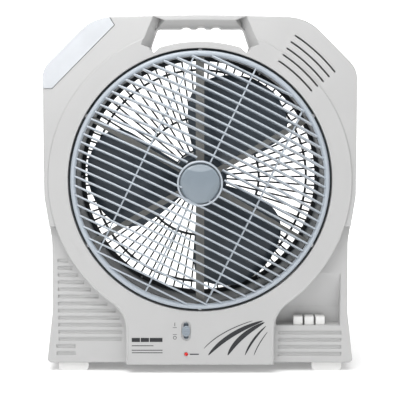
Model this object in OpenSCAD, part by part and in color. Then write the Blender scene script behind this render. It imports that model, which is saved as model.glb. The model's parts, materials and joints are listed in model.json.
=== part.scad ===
// Portable rechargeable box fan with a turning louvre grille and a shoulder lamp.
// Frame: X to the right, Y to the back, Z up, origin under the middle of the fan, millimetres.

/* [Rotor and grille] */
// Diameter of the fan rotor over its blade tips
rotor_d = 305; // [250:5:370]
// Number of blades
blade_count = 3; // [3:1:5]
// Depth of the blades along the axis
blade_depth = 30; // [22:1:32]
// Radius of the rotor's hub cup
rotor_hub_r = 36; // [32:1:44]
// Gap between the blade tips and the duct
tip_gap = 11; // [6:1:16]
// Width of the grille's outer ring, seen from the front
grille_ring_w = 7; // [5:0.5:10]
// Gap between the grille ring and the housing
grille_gap = 3.2; // [1.5:0.1:5]
// Height of the grille's dome
dome_h = 30; // [24:1:36]
// Distance from one louvre to the next
louvre_pitch = 11; // [9:0.5:16]
// Thickness of a louvre
louvre_t = 2.3; // [1.5:0.1:3]
// Depth of a louvre
louvre_depth = 10; // [7:0.5:13]
// Slope of the louvres across the grille, in degrees
louvre_slope = 26.25; // [0:0.25:45]
// Tilt of each louvre about its length, in degrees
louvre_tilt = 14; // [0:1:25]
// Radius of the grille's hub ring
grille_hub_r = 29.5; // [24:0.5:36]

/* [Housing] */
// Width of the housing beside the opening
rim_w = 32.3; // [30:0.1:60]
// Width of the flat face around the opening
face_rim_w = 26; // [20:1:28]
// Height of the housing above the opening
crown_h = 43.3; // [40:0.1:60]
// Height of the housing below the opening
base_h = 72.3; // [70:0.1:110]
// Half width of the control panel below the opening
panel_half_w = 98; // [80:1:100]
// Depth from the front face to the parting line
front_depth = 48; // [44:1:60]
// Depth from the parting line to the back of the duct
rear_depth = 38; // [34:1:60]
// Extra depth of the base behind the duct
base_extra_depth = 28; // [20:1:50]
// Wall thickness of the shells
wall = 2.6; // [2:0.1:3.2]
// Step from the front face back to the side wings
wing_step = 13; // [8:1:15]
// Cut of the 45 degree shoulders
shoulder_cut = 67; // [50:1:75]
// How far the waist is drawn in
waist_in = 9.2; // [0:0.1:14]
// Height of the handle bar
bar_h = 17.5; // [15:0.5:20]
// Half length of the handle opening along its top
grip_half_w = 57; // [45:1:58]

/* [Feet] */
// Height of the feet
foot_h = 12; // [8:1:20]
// Width of a foot
foot_w = 40; // [30:1:50]
// Length of a foot, front to back
foot_l = 30; // [20:1:36]

/* [Lamp] */
// Width of the lamp diffuser across the shoulder
lamp_w = 27; // [22:1:32]
// Depth of the lamp diffuser
lamp_depth = 26; // [22:1:32]
// Number of light emitters
lamp_leds_n = 9; // [5:1:10]

/* [Controls] */
// Number of push keys
key_count = 3; // [2:1:3]
// Width of a push key
key_w = 12.2; // [10:0.1:13]
// Distance from one push key to the next
key_pitch = 14.9; // [14:0.1:18]
// Depth of a push key, front to back
key_d = 11; // [9:0.5:12]
// Height of a push key above the ledge
key_up = 11.5; // [8:0.5:14]
// Travel of a push key
key_travel = 4; // [2:0.5:5]
// Travel of the lamp slide switch
slide_travel = 9; // [5:0.5:10]

/* [Battery and charger] */
// Battery length, height and depth
battery_size = [101, 47, 68]; // [40:1:110]
// Transformer core width, height and depth
core_size = [48, 40, 24]; // [15:1:60]

/* [Fits] */
// Clearance between parts that slide or drop together
fit = 0.4; // [0.3:0.05:0.6]
// Radial clearance of a running shaft
run = 0.05; // [0.02:0.01:0.09]
// Radius of the motor shaft
shaft_r = 3; // [2.5:0.1:3.5]
// Radius of the grille axle
axle_r = 4; // [3:0.1:5]
// Radius of the motor case
motor_r = 18.5; // [16:0.5:22]
// Length of the motor case
motor_l = 36; // [30:1:37]

/* [Hidden] */
$fn = 72;

// Radii about the fan's axis
rotor_r = rotor_d / 2;
duct_r = rotor_r + tip_gap;
duct_wall = 3;
grille_r = duct_r + grille_ring_w;
opening_r = grille_r + grille_gap;
collar_r = opening_r + wall;
face_r = opening_r + face_rim_w;
rear_collar_r = duct_r + duct_wall + 0.7;

// Heights
body_z = foot_h;
ring_z = body_z + base_h + opening_r;
top_z = ring_z + opening_r + crown_h;
half_w = opening_r + rim_w;

// Depths: the fan is centred between the hub cap and the back of the base
cap_out = 3;
grille_proud = 1;
total_d = cap_out + dome_h + grille_proud + front_depth + rear_depth + base_extra_depth;
cap_y = -total_d / 2;
apex_y = cap_y + cap_out;
grille_y = apex_y + dome_h;
face_y = grille_y + grille_proud;
part_y = face_y + front_depth;
back_y = part_y + rear_depth;
base_y = back_y + base_extra_depth;
wing_y = face_y + wing_step;

// Stack of the parts behind the grille ring
ring_t = 7;
spider_y = grille_y + ring_t + 1;
spider_t = 4;
flange_y = spider_y + spider_t;
flange_t = 2;
lip_y = flange_y + flange_t;
lip_t = 3;
guard_t = 4;
guard_lip_t = 3;
guard_y = back_y - guard_lip_t - guard_t - 5;
strut_y = lip_y;
rotor_y = (strut_y + guard_y) / 2 - 1;

eps = 0.01;

// ---------- helpers ----------

// Places children drawn in X and Z as a solid between two depths
module slab(y0, y1) {
    translate([0, y1, 0]) rotate([90, 0, 0]) linear_extrude(height = y1 - y0) children();
}

// Cylinder along Y between two depths
module ycyl(r, y0, y1, x = 0, z = 0) {
    translate([x, y1, z]) rotate([90, 0, 0]) cylinder(r = r, h = y1 - y0);
}

// Tube along Y
module ytube(r_out, r_in, y0, y1, x = 0, z = 0) {
    difference() {
        ycyl(r_out, y0, y1, x, z);
        ycyl(r_in, y0 - 1, y1 + 1, x, z);
    }
}

// Profile of radius and depth turned about the fan's axis
module turned(points) {
    translate([0, 0, ring_z]) rotate([-90, 0, 0]) rotate_extrude($fn = 144) polygon(points);
}

// Box from two corners
module box(lo, hi) {
    translate(lo) cube(hi - lo);
}

function unit(v) = v / norm(v);
function left_of(u) = [-u[1], u[0]];
function turn(v, a) = [v[0] * cos(a) - v[1] * sin(a), v[0] * sin(a) + v[1] * cos(a)];

// Corner i of a counter-clockwise outline after the outline has been inset by d
function inset_corner(p, i, d) =
    let (
        n = len(p),
        u = unit(p[i] - p[(i + n - 1) % n]),
        w = unit(p[(i + 1) % n] - p[i])
    ) p[i] + d * (left_of(u) + left_of(w)) / (1 + left_of(u) * left_of(w));

// Arc of k steps that rounds corner i, where r is the radius before the inset
function round_corner(p, i, r, d, k) =
    let (
        n = len(p),
        u = unit(p[i] - p[(i + n - 1) % n]),
        w = unit(p[(i + 1) % n] - p[i]),
        side = cross(u, w) >= 0 ? 1 : -1,
        angle = acos(min(1, u * w)),
        radius = max(0.2, r - side * d),
        start = p[i] - u * radius * tan(angle / 2),
        centre = start + left_of(u) * radius * side
    ) [for (j = [0:k]) centre + turn(start - centre, side * angle * j / k)];

// Rounded outline, inset by d, from corners given as [x, z, radius]
function rounded(c, d, k = 4) =
    let (p = [for (v = c) [v[0], v[1]]], q = [for (i = [0:len(p) - 1]) inset_corner(p, i, d)])
    [for (i = [0:len(c) - 1]) each round_corner(q, i, c[i][2], d, k)];

// Round lead that follows a route of points, with a small bead at every bend
bead = 0.15;
module lead(route, r) {
    for (i = [0:len(route) - 2]) {
        rod(route[i], route[i + 1], r);
    }
    for (i = [1:len(route) - 2]) {
        translate(route[i]) sphere(r = r + bead, $fn = 24);
    }
}

// Round rod between two points
module rod(a, b, r) {
    v = b - a;
    translate(a) rotate([0, acos(v[2] / norm(v)), atan2(v[1], v[0])]) cylinder(r = r, h = norm(v), $fn = 24);
}

// Mirrors children to both sides
module both_sides() {
    children();
    mirror([1, 0, 0]) children();
}

// ---------- outlines ----------

crown_drop = 3.5;
flare = 0.4;
shoulder_x = half_w - shoulder_cut;
shoulder_z = top_z - crown_drop;
body_right = [
    [half_w - flare, body_z, 5],
    [half_w - waist_in + 0.4, body_z + 70, 100],
    [half_w - waist_in, ring_z - 80, 70],
    [half_w, ring_z - 20, 60],
    [half_w, shoulder_z - shoulder_cut, 30],
    [shoulder_x, shoulder_z, 60],
];
body_corners = concat(
    body_right,
    [[0, top_z, 2000]],
    [for (i = [len(body_right) - 1:-1:0]) [-body_right[i][0], body_right[i][1], body_right[i][2]]]
);
function body_outline(d) = rounded(body_corners, d);

// Face disc with the control panel below it, blended by a fillet on each side
panel_fillet = 45;
fillet_x = panel_half_w + panel_fillet;
fillet_z = ring_z - sqrt(pow(face_r + panel_fillet, 2) - fillet_x * fillet_x);
fillet_angle = atan2(ring_z - fillet_z, fillet_x);
function arc(x, z, r, a0, a1, k) = [for (i = [0:k]) [x, z] + r * [cos(a0 + (a1 - a0) * i / k), sin(a0 + (a1 - a0) * i / k)]];
function face_outline(d) = concat(
    [[panel_half_w - d, body_z]],
    arc(fillet_x, fillet_z, panel_fillet + d, 180, 180 - fillet_angle, 8),
    arc(0, ring_z, face_r - d, 0.4 - fillet_angle, 179.6 + fillet_angle, 90),
    arc(-fillet_x, fillet_z, panel_fillet + d, fillet_angle, 0, 8),
    [[d - panel_half_w, body_z]]
);

// Handle opening: a slot under the bar whose lower edge follows the grille opening
bridge_h = 8.3;
grip_z = top_z - bar_h;
grip_flare = 11;
function grip_outline(top, side, low) =
    let (
        r = opening_r + bridge_h - low,
        x1 = grip_half_w + grip_flare + side * 0.6,
        z1 = ring_z + sqrt(r * r - x1 * x1),
        c = [[x1, z1 - 1, 6], [grip_half_w + side, grip_z + top, 5 + side / 3], [-grip_half_w - side, grip_z + top, 5 + side / 3], [-x1, z1 - 1, 6]],
        p = [for (v = c) [v[0], v[1]]],
        a = atan2(z1 - ring_z, x1)
    )
    concat(
        rounded_open(c, 3),
        [for (i = [1:11]) let (t = 178 - a + (2 * a - 176) * i / 12) [r * cos(t), ring_z + r * sin(t)]]
    );
function rounded_open(c, k) =
    let (p = [for (v = c) [v[0], v[1]]])
    [for (i = [0:len(c) - 1]) each round_corner(p, i, c[i][2], 0, k)];

// ---------- front shell ----------

module body_block(y0, y1, d) {
    slab(y0, y1) polygon(body_outline(d));
}

module face_block(y0, y1, d) {
    slab(y0, y1) polygon(face_outline(d));
}

shoulder_fall = 12;
module shoulders(shift, inset) {
    intersection() {
        turned([[0, face_y + 1.2 + shift], [face_r - 2, face_y + 1.2 + shift], [face_r + 100, face_y + shoulder_fall + shift], [face_r + 100, part_y], [0, part_y]]);
        slab(face_y, part_y + 1) difference() {
            polygon(body_outline(inset));
            translate([-half_w - 1, 0]) square([2 * half_w + 2, ring_z - 60]);
        }
    }
}

// Scooped recess above the key ledge
ledge_z = body_z + 51;
recess_x0 = panel_half_w + 4;
recess_x1 = half_w - waist_in - 9;
recess_y = wing_y + 19;
recess_top = ledge_z + 68;
module recess(g) {
    translate([recess_x0 - g, 0, 0]) rotate([90, 0, 90]) linear_extrude(height = recess_x1 - recess_x0 + 2 * g)
        polygon([[wing_y - 8, recess_top + 26 + g], [recess_y - 2 + g, ledge_z + 22 + g], [recess_y + g, ledge_z - g], [wing_y - 8, ledge_z - g]]);
}

key_x0 = panel_half_w + 34;
key_y0 = wing_y + 4;
module key_well(g) {
    box([key_x0 - key_w / 2 - g, key_y0 - g, ledge_z - 12], [key_x0 + (key_count - 1) * key_pitch + key_w / 2 + g, key_y0 + key_d + g, ledge_z + 1]);
}

// Curved vent slots in the right shoulder
vent_w = 1.9;
vent_pitch = 9.8;
vent_count = 5;
vent_r = opening_r + 13.5;
module vents() {
    for (i = [0:vent_count - 1]) {
        slab(face_y - 1, part_y - 20) translate([0, ring_z]) intersection() {
            difference() {
                circle(r = vent_r + i * vent_pitch + vent_w / 2, $fn = 144);
                circle(r = vent_r + i * vent_pitch - vent_w / 2, $fn = 144);
            }
            polygon([[0, 0], 400 * [cos(39), sin(39)], 400 * [cos(57), sin(57)]]);
        }
    }
}

// Lamp outline on the left shoulder, running along the 45 degree edge
lamp_mid_x = -(half_w + shoulder_x) / 2;
lamp_mid_z = shoulder_z - shoulder_cut / 2;
lamp_half_l = shoulder_cut * 0.94;
module lamp_band(g) {
    intersection() {
        polygon(body_outline(0.5 - g));
        translate([lamp_mid_x, lamp_mid_z]) rotate(45)
            polygon([[-lamp_half_l - g, -lamp_w + 7 - g], [-lamp_half_l + 7 - g, -lamp_w - g], [lamp_half_l - 3 + g, -lamp_w - g], [lamp_half_l + 10 + g, 30], [-lamp_half_l - 20 - g, 30]]);
    }
}

// Switch slot and charge light in the panel
switch_x = -18.5;
switch_z = body_z + 46;
switch_w = 12;
switch_h = 26;
light_z = body_z + 14.5;
light_r = 2.4;
module oval(w, h) {
    translate([0, h / 2 - w / 2]) circle(d = w);
    translate([0, w / 2 - h / 2]) circle(d = w);
    square([w, h - w], center = true);
}

// Grooves in the wings: a full set on the left, short sets on the right
groove_pitch = 9.7;
groove_h = 4.4;
groove_depth = 1.4;
module groove(x0, x1, z) {
    box([min(x0, x1), wing_y - 1, z - groove_h / 2], [max(x0, x1), wing_y + groove_depth, z + groove_h / 2]);
}
groove_z0 = body_z + 32;
wing_out = half_w - waist_in - 7;
function wing_in(z) =
    z < fillet_z ? panel_half_w + 7 :
    let (d = ring_z - z, disc = sqrt(max(0, pow(face_r + 7, 2) - d * d)))
    z < ring_z - (face_r * sin(fillet_angle)) ? max(disc, fillet_x - sqrt(max(0, pow(panel_fillet - 7, 2) - pow(z - fillet_z, 2)))) : disc;
module wing_grooves() {
    for (i = [0:11]) {
        z = groove_z0 + i * groove_pitch;
        if (wing_out - wing_in(z) > 8) groove(-wing_out, -wing_in(z), z);
    }
    for (i = [1:2]) {
        groove(-wing_out - 3, -wing_out + 22, groove_z0 - i * groove_pitch);
    }
    for (i = [-2:1]) {
        groove(panel_half_w + 7, wing_out, body_z + 31 + i * groove_pitch);
    }
    for (i = [0:1]) {
        z = recess_top + 29 + i * groove_pitch;
        if (wing_out - wing_in(z) > 8) groove(wing_out, wing_in(z), z);
    }
}

// Screw posts that join the shells
post_r = 4.5;
screw_r = 1.5;
post_half = [
    [grip_half_w + grip_flare + 17, top_z - 24],
    [half_w - 14, ring_z + 92],
    [half_w - waist_in - 15, ledge_z + 26],
    [panel_half_w + 10, body_z + 12],
];
posts = concat(post_half, [for (p = post_half) [-p[0], p[1]]]);
module at_posts() {
    for (p = posts) {
        translate([p[0], 0, p[1]]) children();
    }
}

module front_cavity() {
    difference() {
        union() {
            body_block(wing_y + wall, part_y + 1, wall);
            intersection() {
                face_block(face_y + wall, wing_y + wall + 1, wall);
                body_block(face_y, part_y, wall);
            }
            shoulders(wall, wall + 1);
        }
        ycyl(collar_r, face_y - 1, part_y + 2, 0, ring_z);
        slab(face_y - 1, part_y + 2) polygon(grip_outline(20, 17, 6));
        at_posts() ycyl(post_r, face_y, part_y + 2);
        recess(wall);
        difference() {
            key_well(wall);
            key_well(fit);
        }
        slab(face_y - 1, face_y + lamp_depth + 4) lamp_band(wall);
    }
}

// Bevels along the top and the slanting ends of the handle opening, from a wide depth to a narrow one
grip_bevel_w = 13;
grip_slant = 20;
grip_end_l = 39.7;
module grip_bevels(wide_y, narrow_y) {
    translate([-grip_half_w - 2, 0, grip_z]) rotate([90, 0, 90]) linear_extrude(height = 2 * grip_half_w + 4)
        polygon([[wide_y, grip_bevel_w], [wide_y, -9], [narrow_y, -0.8]]);
    both_sides() translate([grip_half_w, 0, grip_z]) rotate([0, -grip_slant, 0]) translate([0, 0, grip_bevel_w - grip_end_l])
        linear_extrude(height = grip_end_l) polygon([[grip_bevel_w - 1, wide_y], [-0.8, narrow_y], [-9, wide_y]]);
}
module grip_cut() {
    grip_bevels(face_y - 2, face_y + 20);
    slab(face_y - 2, part_y + 1) polygon(grip_outline(0, 0, 0));
    scallops(face_y + 8, part_y + 1);
}

// Finger scallops under the bar
scallop_pitch = 20;
scallop_r = 9;
scallop_cut = 2.8;
module scallops(y0, y1) {
    for (i = [-1:1]) {
        ycyl(scallop_r, y0, y1, i * scallop_pitch + 1.5, grip_z + scallop_cut - scallop_r);
    }
}

module front_shell() {
    color([0.80, 0.80, 0.80]) difference() {
        union() {
            body_block(wing_y, part_y, 0);
            face_block(face_y, wing_y + 1, 0);
            shoulders(0, 1);
        }
        difference() {
            front_cavity();
            turned([[rear_collar_r - 0.2, lip_y], [collar_r + 1, lip_y], [collar_r + 1, lip_y + lip_t], [rear_collar_r - 0.2, lip_y + lip_t]]);
        }
        ycyl(opening_r, face_y - 2, lip_y, 0, ring_z);
        ycyl(rear_collar_r, face_y - 1, part_y + 1, 0, ring_z);
        ycyl(opening_r, lip_y + lip_t, part_y + 1, 0, ring_z);
        grip_cut();
        recess(0);
        key_well(fit);
        vents();
        wing_grooves();
        slab(face_y - 2, face_y + lamp_depth) lamp_band(0.3);
        slab(face_y - 1, face_y + lamp_depth + 5) offset_lamp_hole();
        slab(face_y - 1, face_y + 1.2) translate([switch_x, switch_z]) oval(switch_w, switch_h);
        slab(face_y - 1, face_y + wall + 2) translate([switch_x, switch_z]) oval(6.6, 23);
        ycyl(light_r + 0.1, face_y - 1, face_y + wall + 2, switch_x, light_z);
        at_posts() ycyl(screw_r + run, part_y - 16, part_y + 1);
        for (a = spider_angles) {
            at_rim(a, spider_screw_r) ycyl(screw_r + run, lip_y - 1, lip_y + lip_t + 1);
        }
        at_foot_screws() cylinder(r = screw_r + run, h = 12);
    }
}

// Hole in the lamp seat for the emitters' light and lead
module offset_lamp_hole() {
    translate([lamp_mid_x + 6, lamp_mid_z - 6]) rotate(45) square([lamp_half_l * 1.3, 8], center = true);
}

// ---------- rear shell ----------

battery_z = body_z + wall + 2;
inlet_x = half_w - waist_in - 52;
inlet_z = body_z + 38;
inlet_w = 22;
inlet_h = 12;

// Side view of the body: deep base, slim top
module side_profile(g) {
    translate([-half_w - 5, 0, 0]) rotate([90, 0, 90]) linear_extrude(height = 2 * half_w + 10)
        polygon([
            [part_y - 2, body_z - 1 + g * 1.2], [base_y - g, body_z - 1 + g * 1.2], [base_y - g, ledge_z + 36 - g * 0.4],
            [back_y - g, ledge_z + 72 - g * 0.4], [back_y - g, top_z - 70], [back_y - 18 - g, top_z + 1 - g * 1.2], [part_y - 2, top_z + 1 - g * 1.2],
        ]);
}

module rear_solid() {
    intersection() {
        body_block(part_y, base_y + 1, 0);
        side_profile(0);
    }
}

module rear_cavity() {
    difference() {
        intersection() {
            body_block(part_y - 1, base_y, wall);
            side_profile(wall);
        }
        ycyl(rear_collar_r + wall, part_y - 2, base_y + 1, 0, ring_z);
        slab(part_y - 2, back_y + 1) polygon(grip_outline(20, 17, 6));
        at_posts() ycyl(post_r, part_y - 2, base_y + 1);
        box([inlet_x - inlet_w / 2 - wall, base_y - 20, inlet_z - inlet_h / 2 - wall], [inlet_x + inlet_w / 2 + wall, base_y, inlet_z + inlet_h / 2 + wall]);
    }
}

rear_vent_count = 7;
module rear_shell() {
    color([0.79, 0.79, 0.79]) difference() {
        rear_solid();
        difference() {
            rear_cavity();
            turned([[duct_r - 4, back_y - guard_lip_t], [rear_collar_r + 1, back_y - guard_lip_t], [rear_collar_r + 1, back_y], [duct_r - 4, back_y]]);
        }
        ycyl(rear_collar_r, part_y - 1, back_y - guard_lip_t, 0, ring_z);
        ycyl(duct_r - 4, part_y - 1, base_y + 1, 0, ring_z);
        ycyl(rear_collar_r, back_y, base_y + 1, 0, ring_z);
        slab(part_y - 1, back_y + 2) polygon(grip_outline(0, 0, 0));
        grip_bevels(back_y + 2, part_y + 12);
        scallops(part_y - 1, back_y - 16);
        at_posts() ycyl(screw_r + 0.4, part_y - 1, base_y + 1);
        for (p = posts) {
            translate([p[0], 0, p[1]]) ycyl(post_r - 1, post_seat(p[1]), base_y + 1);
        }
        box([inlet_x - inlet_w / 2, base_y - 18, inlet_z - inlet_h / 2], [inlet_x + inlet_w / 2, base_y + 1, inlet_z + inlet_h / 2]);
        for (i = [0:rear_vent_count - 1]) {
            box([-60 + i * 20 - 6, base_y - wall - 1, body_z + 30], [-60 + i * 20 + 6, base_y + 1, body_z + 33]);
            box([-60 + i * 20 - 6, base_y - wall - 1, body_z + 40], [-60 + i * 20 + 6, base_y + 1, body_z + 43]);
        }
        for (a = guard_angles) {
            at_rim(a, guard_screw_r) ycyl(screw_r + 0.4, back_y - guard_lip_t - 1, back_y + 1);
        }
        at_rim(-90, duct_r + 6) box([-3, guard_y + 2, -8], [3, guard_y + 8, 8]);
        at_foot_screws() cylinder(r = screw_r + run, h = 12);
    }
}
function post_seat(z) = z > ledge_z + 40 ? part_y + 14 : part_y + 30;

// ---------- duct, guard and spider ----------

spider_angles = [30, 90, 150, 210, 270, 330];
guard_angles = [0, 60, 120, 180, 240, 300];
spider_screw_r = opening_r - 2.9;
guard_screw_r = duct_r - 1.2;
module at_rim(a, r) {
    translate([r * cos(a), 0, ring_z + r * sin(a)]) children();
}

module duct_shroud() {
    color([0.24, 0.28, 0.31]) difference() {
        union() {
            ytube(duct_r + duct_wall, duct_r, flange_y, guard_y - 0.2, 0, ring_z);
            ytube(opening_r - fit, duct_r, flange_y, flange_y + flange_t, 0, ring_z);
        }
        for (a = spider_angles) {
            at_rim(a, spider_screw_r) ycyl(screw_r + 0.3, flange_y - 1, flange_y + flange_t + 1);
        }
    }
}

guard_hub_r = rotor_hub_r + 1;
guard_mid_r = 81;
guard_outer_r = duct_r - 17.5;
module guard_ring(r, w) {
    difference() {
        circle(r = r + w / 2, $fn = 144);
        circle(r = r - w / 2, $fn = 144);
    }
}
module guard_pattern() {
    circle(r = guard_hub_r);
    guard_ring(guard_mid_r, 3);
    guard_ring(guard_outer_r, 3);
    guard_ring(duct_r - 1.5, 8);
    for (i = [0:39]) {
        rotate(i * 9 + 4.5) translate([guard_hub_r - 2, -1.1]) square([duct_r - guard_hub_r, 2.2]);
        rotate(i * 9) translate([guard_mid_r, -1.1]) square([duct_r - guard_mid_r - 2, 2.2]);
    }
}
module rear_guard() {
    color([0.14, 0.15, 0.17]) difference() {
        slab(guard_y, guard_y + guard_t) translate([0, ring_z]) guard_pattern();
        ycyl(motor_bush_r + 0.3, guard_y - 1, guard_y + guard_t + 1, 0, ring_z);
        for (a = motor_screw_angles) {
            at_rim(a, motor_screw_pcd / 2) ycyl(screw_r + 0.3, guard_y - 1, guard_y + guard_t + 1);
        }
        for (a = cover_screw_angles) {
            at_rim(a, guard_hub_r - 5) ycyl(screw_r + run, guard_y - 1, guard_y + guard_t + 1);
        }
        for (a = guard_angles) {
            at_rim(a, guard_screw_r) ycyl(screw_r + run, guard_y - 1, guard_y + guard_t + 1);
        }
    }
}

strut_w = 7.5;
boss_r = 16;
boss_y0 = apex_y + 25;
boss_y1 = spider_y + spider_t + 2;
module front_spider() {
    color([0.62, 0.61, 0.58]) difference() {
        union() {
            ytube(duct_r + 6, duct_r + 0.5, spider_y, spider_y + spider_t, 0, ring_z);
            for (a = spider_angles) {
                translate([0, 0, ring_z]) rotate([0, -a, 0]) strut(strut_half(a));
                at_rim(a, spider_screw_r - 0.2) ycyl(3, spider_y, spider_y + spider_t);
            }
            ycyl(boss_r, boss_y0, boss_y1, 0, ring_z);
        }
        ycyl(axle_r, boss_y0 - 1, boss_y1 + 1, 0, ring_z);
        for (a = spider_angles) {
            at_rim(a, spider_screw_r) ycyl(screw_r + 0.3, spider_y - 1, spider_y + spider_t + 1);
        }
    }
}
// One strut and the rib along its back, of half width w
module strut(w) {
    box([boss_r - 2, spider_y + 0.2, -w], [duct_r + 3, spider_y + spider_t - 0.2, w]);
    box([boss_r - 2, spider_y + 1, 0.5 - w], [duct_r - 1, spider_y + spider_t + 2, w - 0.5]);
}
function strut_half(a) = (a == 90 || a == 270) ? strut_w * 0.74 : strut_w / 2;

module grille_axle() {
    color("silver") difference() {
        union() {
            ycyl(axle_r, axle_end_y, boss_y1, 0, ring_z);
            ycyl(axle_r + 3, boss_y1, boss_y1 + 2, 0, ring_z);
        }
        ycyl(screw_r + run, axle_end_y - 1, axle_end_y + 13, 0, ring_z);
    }
}
axle_end_y = apex_y + 6.2;

module axle_screw() {
    color("silver") {
        ycyl(axle_r + 2.5, axle_end_y - 1.6, axle_end_y, 0, ring_z);
        difference() {
            ycyl(3, axle_end_y - 3.2, axle_end_y - 1.6 + eps, 0, ring_z);
            translate([0, 0, ring_z]) box([-0.5, axle_end_y - 4, -4], [0.5, axle_end_y - 2.4, 4]);
        }
        ycyl(screw_r, axle_end_y - 2, axle_end_y + 10, 0, ring_z);
    }
}

// ---------- turning grille ----------

dome_chord = duct_r + 2;
dome_r = (dome_chord * dome_chord + dome_h * dome_h) / (2 * dome_h);
sleeve_r = 7;
sleeve_y1 = boss_y0 - 1.5;
module dome(shift) {
    translate([0, apex_y + dome_r + shift, ring_z]) sphere(r = dome_r, $fn = 360);
}
module louvres() {
    n = ceil(duct_r / louvre_pitch);
    translate([0, 0, ring_z]) rotate([0, louvre_slope, 0]) for (i = [-n:n]) {
        translate([0, grille_y, i * louvre_pitch]) rotate([-louvre_tilt, 0, 0])
            translate([-duct_r, -60, -louvre_t / 2]) cube([2 * duct_r, 90, louvre_t]);
    }
}
tie_w = 2;
tie_offset = 79;
module ties() {
    translate([0, 0, ring_z]) rotate([0, louvre_slope, 0]) for (x = [-tie_offset, 0, tie_offset]) {
        box([x - tie_w / 2, apex_y - 1, -duct_r], [x + tie_w / 2, grille_y + ring_t + 4, duct_r]);
    }
}
module louvre_grille() {
    color([0.71, 0.75, 0.79]) difference() {
        union() {
            turned([[duct_r, grille_y + 2.5], [duct_r + 2.5, grille_y], [grille_r - 2, grille_y], [grille_r, grille_y + 2], [grille_r, grille_y + ring_t], [duct_r, grille_y + ring_t]]);
            intersection() {
                union() {
                    louvres();
                    intersection() {
                        ties();
                        dome(2.5);
                    }
                }
                difference() {
                    dome(0);
                    dome(louvre_depth);
                }
                ycyl(duct_r + 1, apex_y - 1, grille_y + ring_t - 0.5, 0, ring_z);
            }
            turned([[sleeve_r, apex_y + 6.5], [grille_hub_r - 2.4, apex_y + 6.5], [grille_hub_r - 2.4, apex_y + 0.8], [grille_hub_r - 1, apex_y - 0.4], [grille_hub_r, apex_y + 0.6], [grille_hub_r, apex_y + 11], [sleeve_r + 3, apex_y + 11], [sleeve_r + 3, sleeve_y1], [sleeve_r, sleeve_y1]]);
        }
        ycyl(grille_hub_r - 2.4, apex_y - 5, apex_y + 6.5, 0, ring_z);
        ycyl(sleeve_r, apex_y - 5, sleeve_y1 + 1, 0, ring_z);
        ytube(grille_hub_r - 2.4, sleeve_r + 3, apex_y + 11, apex_y + 40, 0, ring_z);
        at_clips() box([-2.3, apex_y + 5, -1.8], [2.3, apex_y + 12, 1.8]);
    }
}

clip_r = 20;
module at_clips() {
    for (a = [90, 210, 330]) {
        translate([0, 0, ring_z]) rotate([0, -a, 0]) translate([clip_r, 0, 0]) children();
    }
}

module grille_bush() {
    color([0.85, 0.75, 0.45]) ytube(sleeve_r, axle_r + run, axle_end_y + 0.3, sleeve_y1, 0, ring_z);
}

cap_r = grille_hub_r - 3.2;
module hub_cap() {
    color([0.57, 0.62, 0.66]) difference() {
        union() {
            turned([[0, cap_y], [6, cap_y + 0.12], [12, cap_y + 0.5], [18, cap_y + 1.3], [23, cap_y + 2.4], [cap_r - 0.8, cap_y + 3.5], [cap_r, cap_y + 4.4], [cap_r, apex_y + 6.2], [0, apex_y + 6.2]]);
            at_clips() box([-1.9, apex_y + 6, -1.4], [1.9, apex_y + 11, 1.4]);
        }
        ycyl(15.5, cap_y + 2.4, apex_y + 7, 0, ring_z);
        for (a = [90, 210, 330]) {
            at_rim(a, 33) translate([0, cap_y - 7.2, 0]) sphere(r = 15.4, $fn = 96);
        }
    }
}

// ---------- rotor ----------

blade_t = 2.4;
blade_rows = 9;
blade_cols = 10;
blade_root = rotor_hub_r - 2;
rotor_y0 = rotor_y - blade_depth / 2;
function smooth(t) = t * t * (3 - 2 * t);
// Angle of the blade's straight edge and of its swept edge at radius fraction s
function edge_a(s) = -38 + 2 * s + 24 * pow(s, 10);
function edge_b(s) = 42 - 14 * s * s - 28 * pow(s, 7);
function blade_point(s, t, side) =
    let (
        r = blade_root + (rotor_r - 0.2 - blade_root) * s,
        a = edge_a(s) + (edge_b(s) - edge_a(s)) * t,
        w = blade_depth / 2 - blade_t,
        y = -w + 2 * w * (0.12 * smooth(s) + (1 - 0.24 * smooth(s)) * (t + 0.10 * sin(180 * t) * (1 - 2 * t)))
    ) [r * cos(a), y + side * blade_t / 2, r * sin(a)];
module blade() {
    n = blade_cols + 1;
    m = blade_rows + 1;
    front = [for (i = [0:blade_rows]) for (j = [0:blade_cols]) blade_point(i / blade_rows, j / blade_cols, -1)];
    back = [for (i = [0:blade_rows]) for (j = [0:blade_cols]) blade_point(i / blade_rows, j / blade_cols, 1)];
    k = n * m;
    faces = concat(
        [for (i = [0:m - 2]) for (j = [0:n - 2]) let (a = i * n + j) each [[a, a + 1, a + n], [a + 1, a + n + 1, a + n]]],
        [for (i = [0:m - 2]) for (j = [0:n - 2]) let (a = k + i * n + j) each [[a, a + n, a + 1], [a + 1, a + n, a + n + 1]]],
        [for (j = [0:n - 2]) each [[j, k + j, j + 1], [j + 1, k + j, k + j + 1]]],
        [for (j = [0:n - 2]) let (a = (m - 1) * n + j) each [[a, a + 1, k + a], [a + 1, k + a + 1, k + a]]],
        [for (i = [0:m - 2]) let (a = i * n) each [[a, a + n, k + a], [a + n, k + a + n, k + a]]],
        [for (i = [0:m - 2]) let (a = i * n + n - 1) each [[a, k + a, a + n], [a + n, k + a, k + a + n]]]
    );
    polyhedron(points = concat(front, back), faces = faces);
}
first_blade = 62;
hub_wall = 2.5;
rotor_bore_y0 = rotor_y0 + 2;
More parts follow.
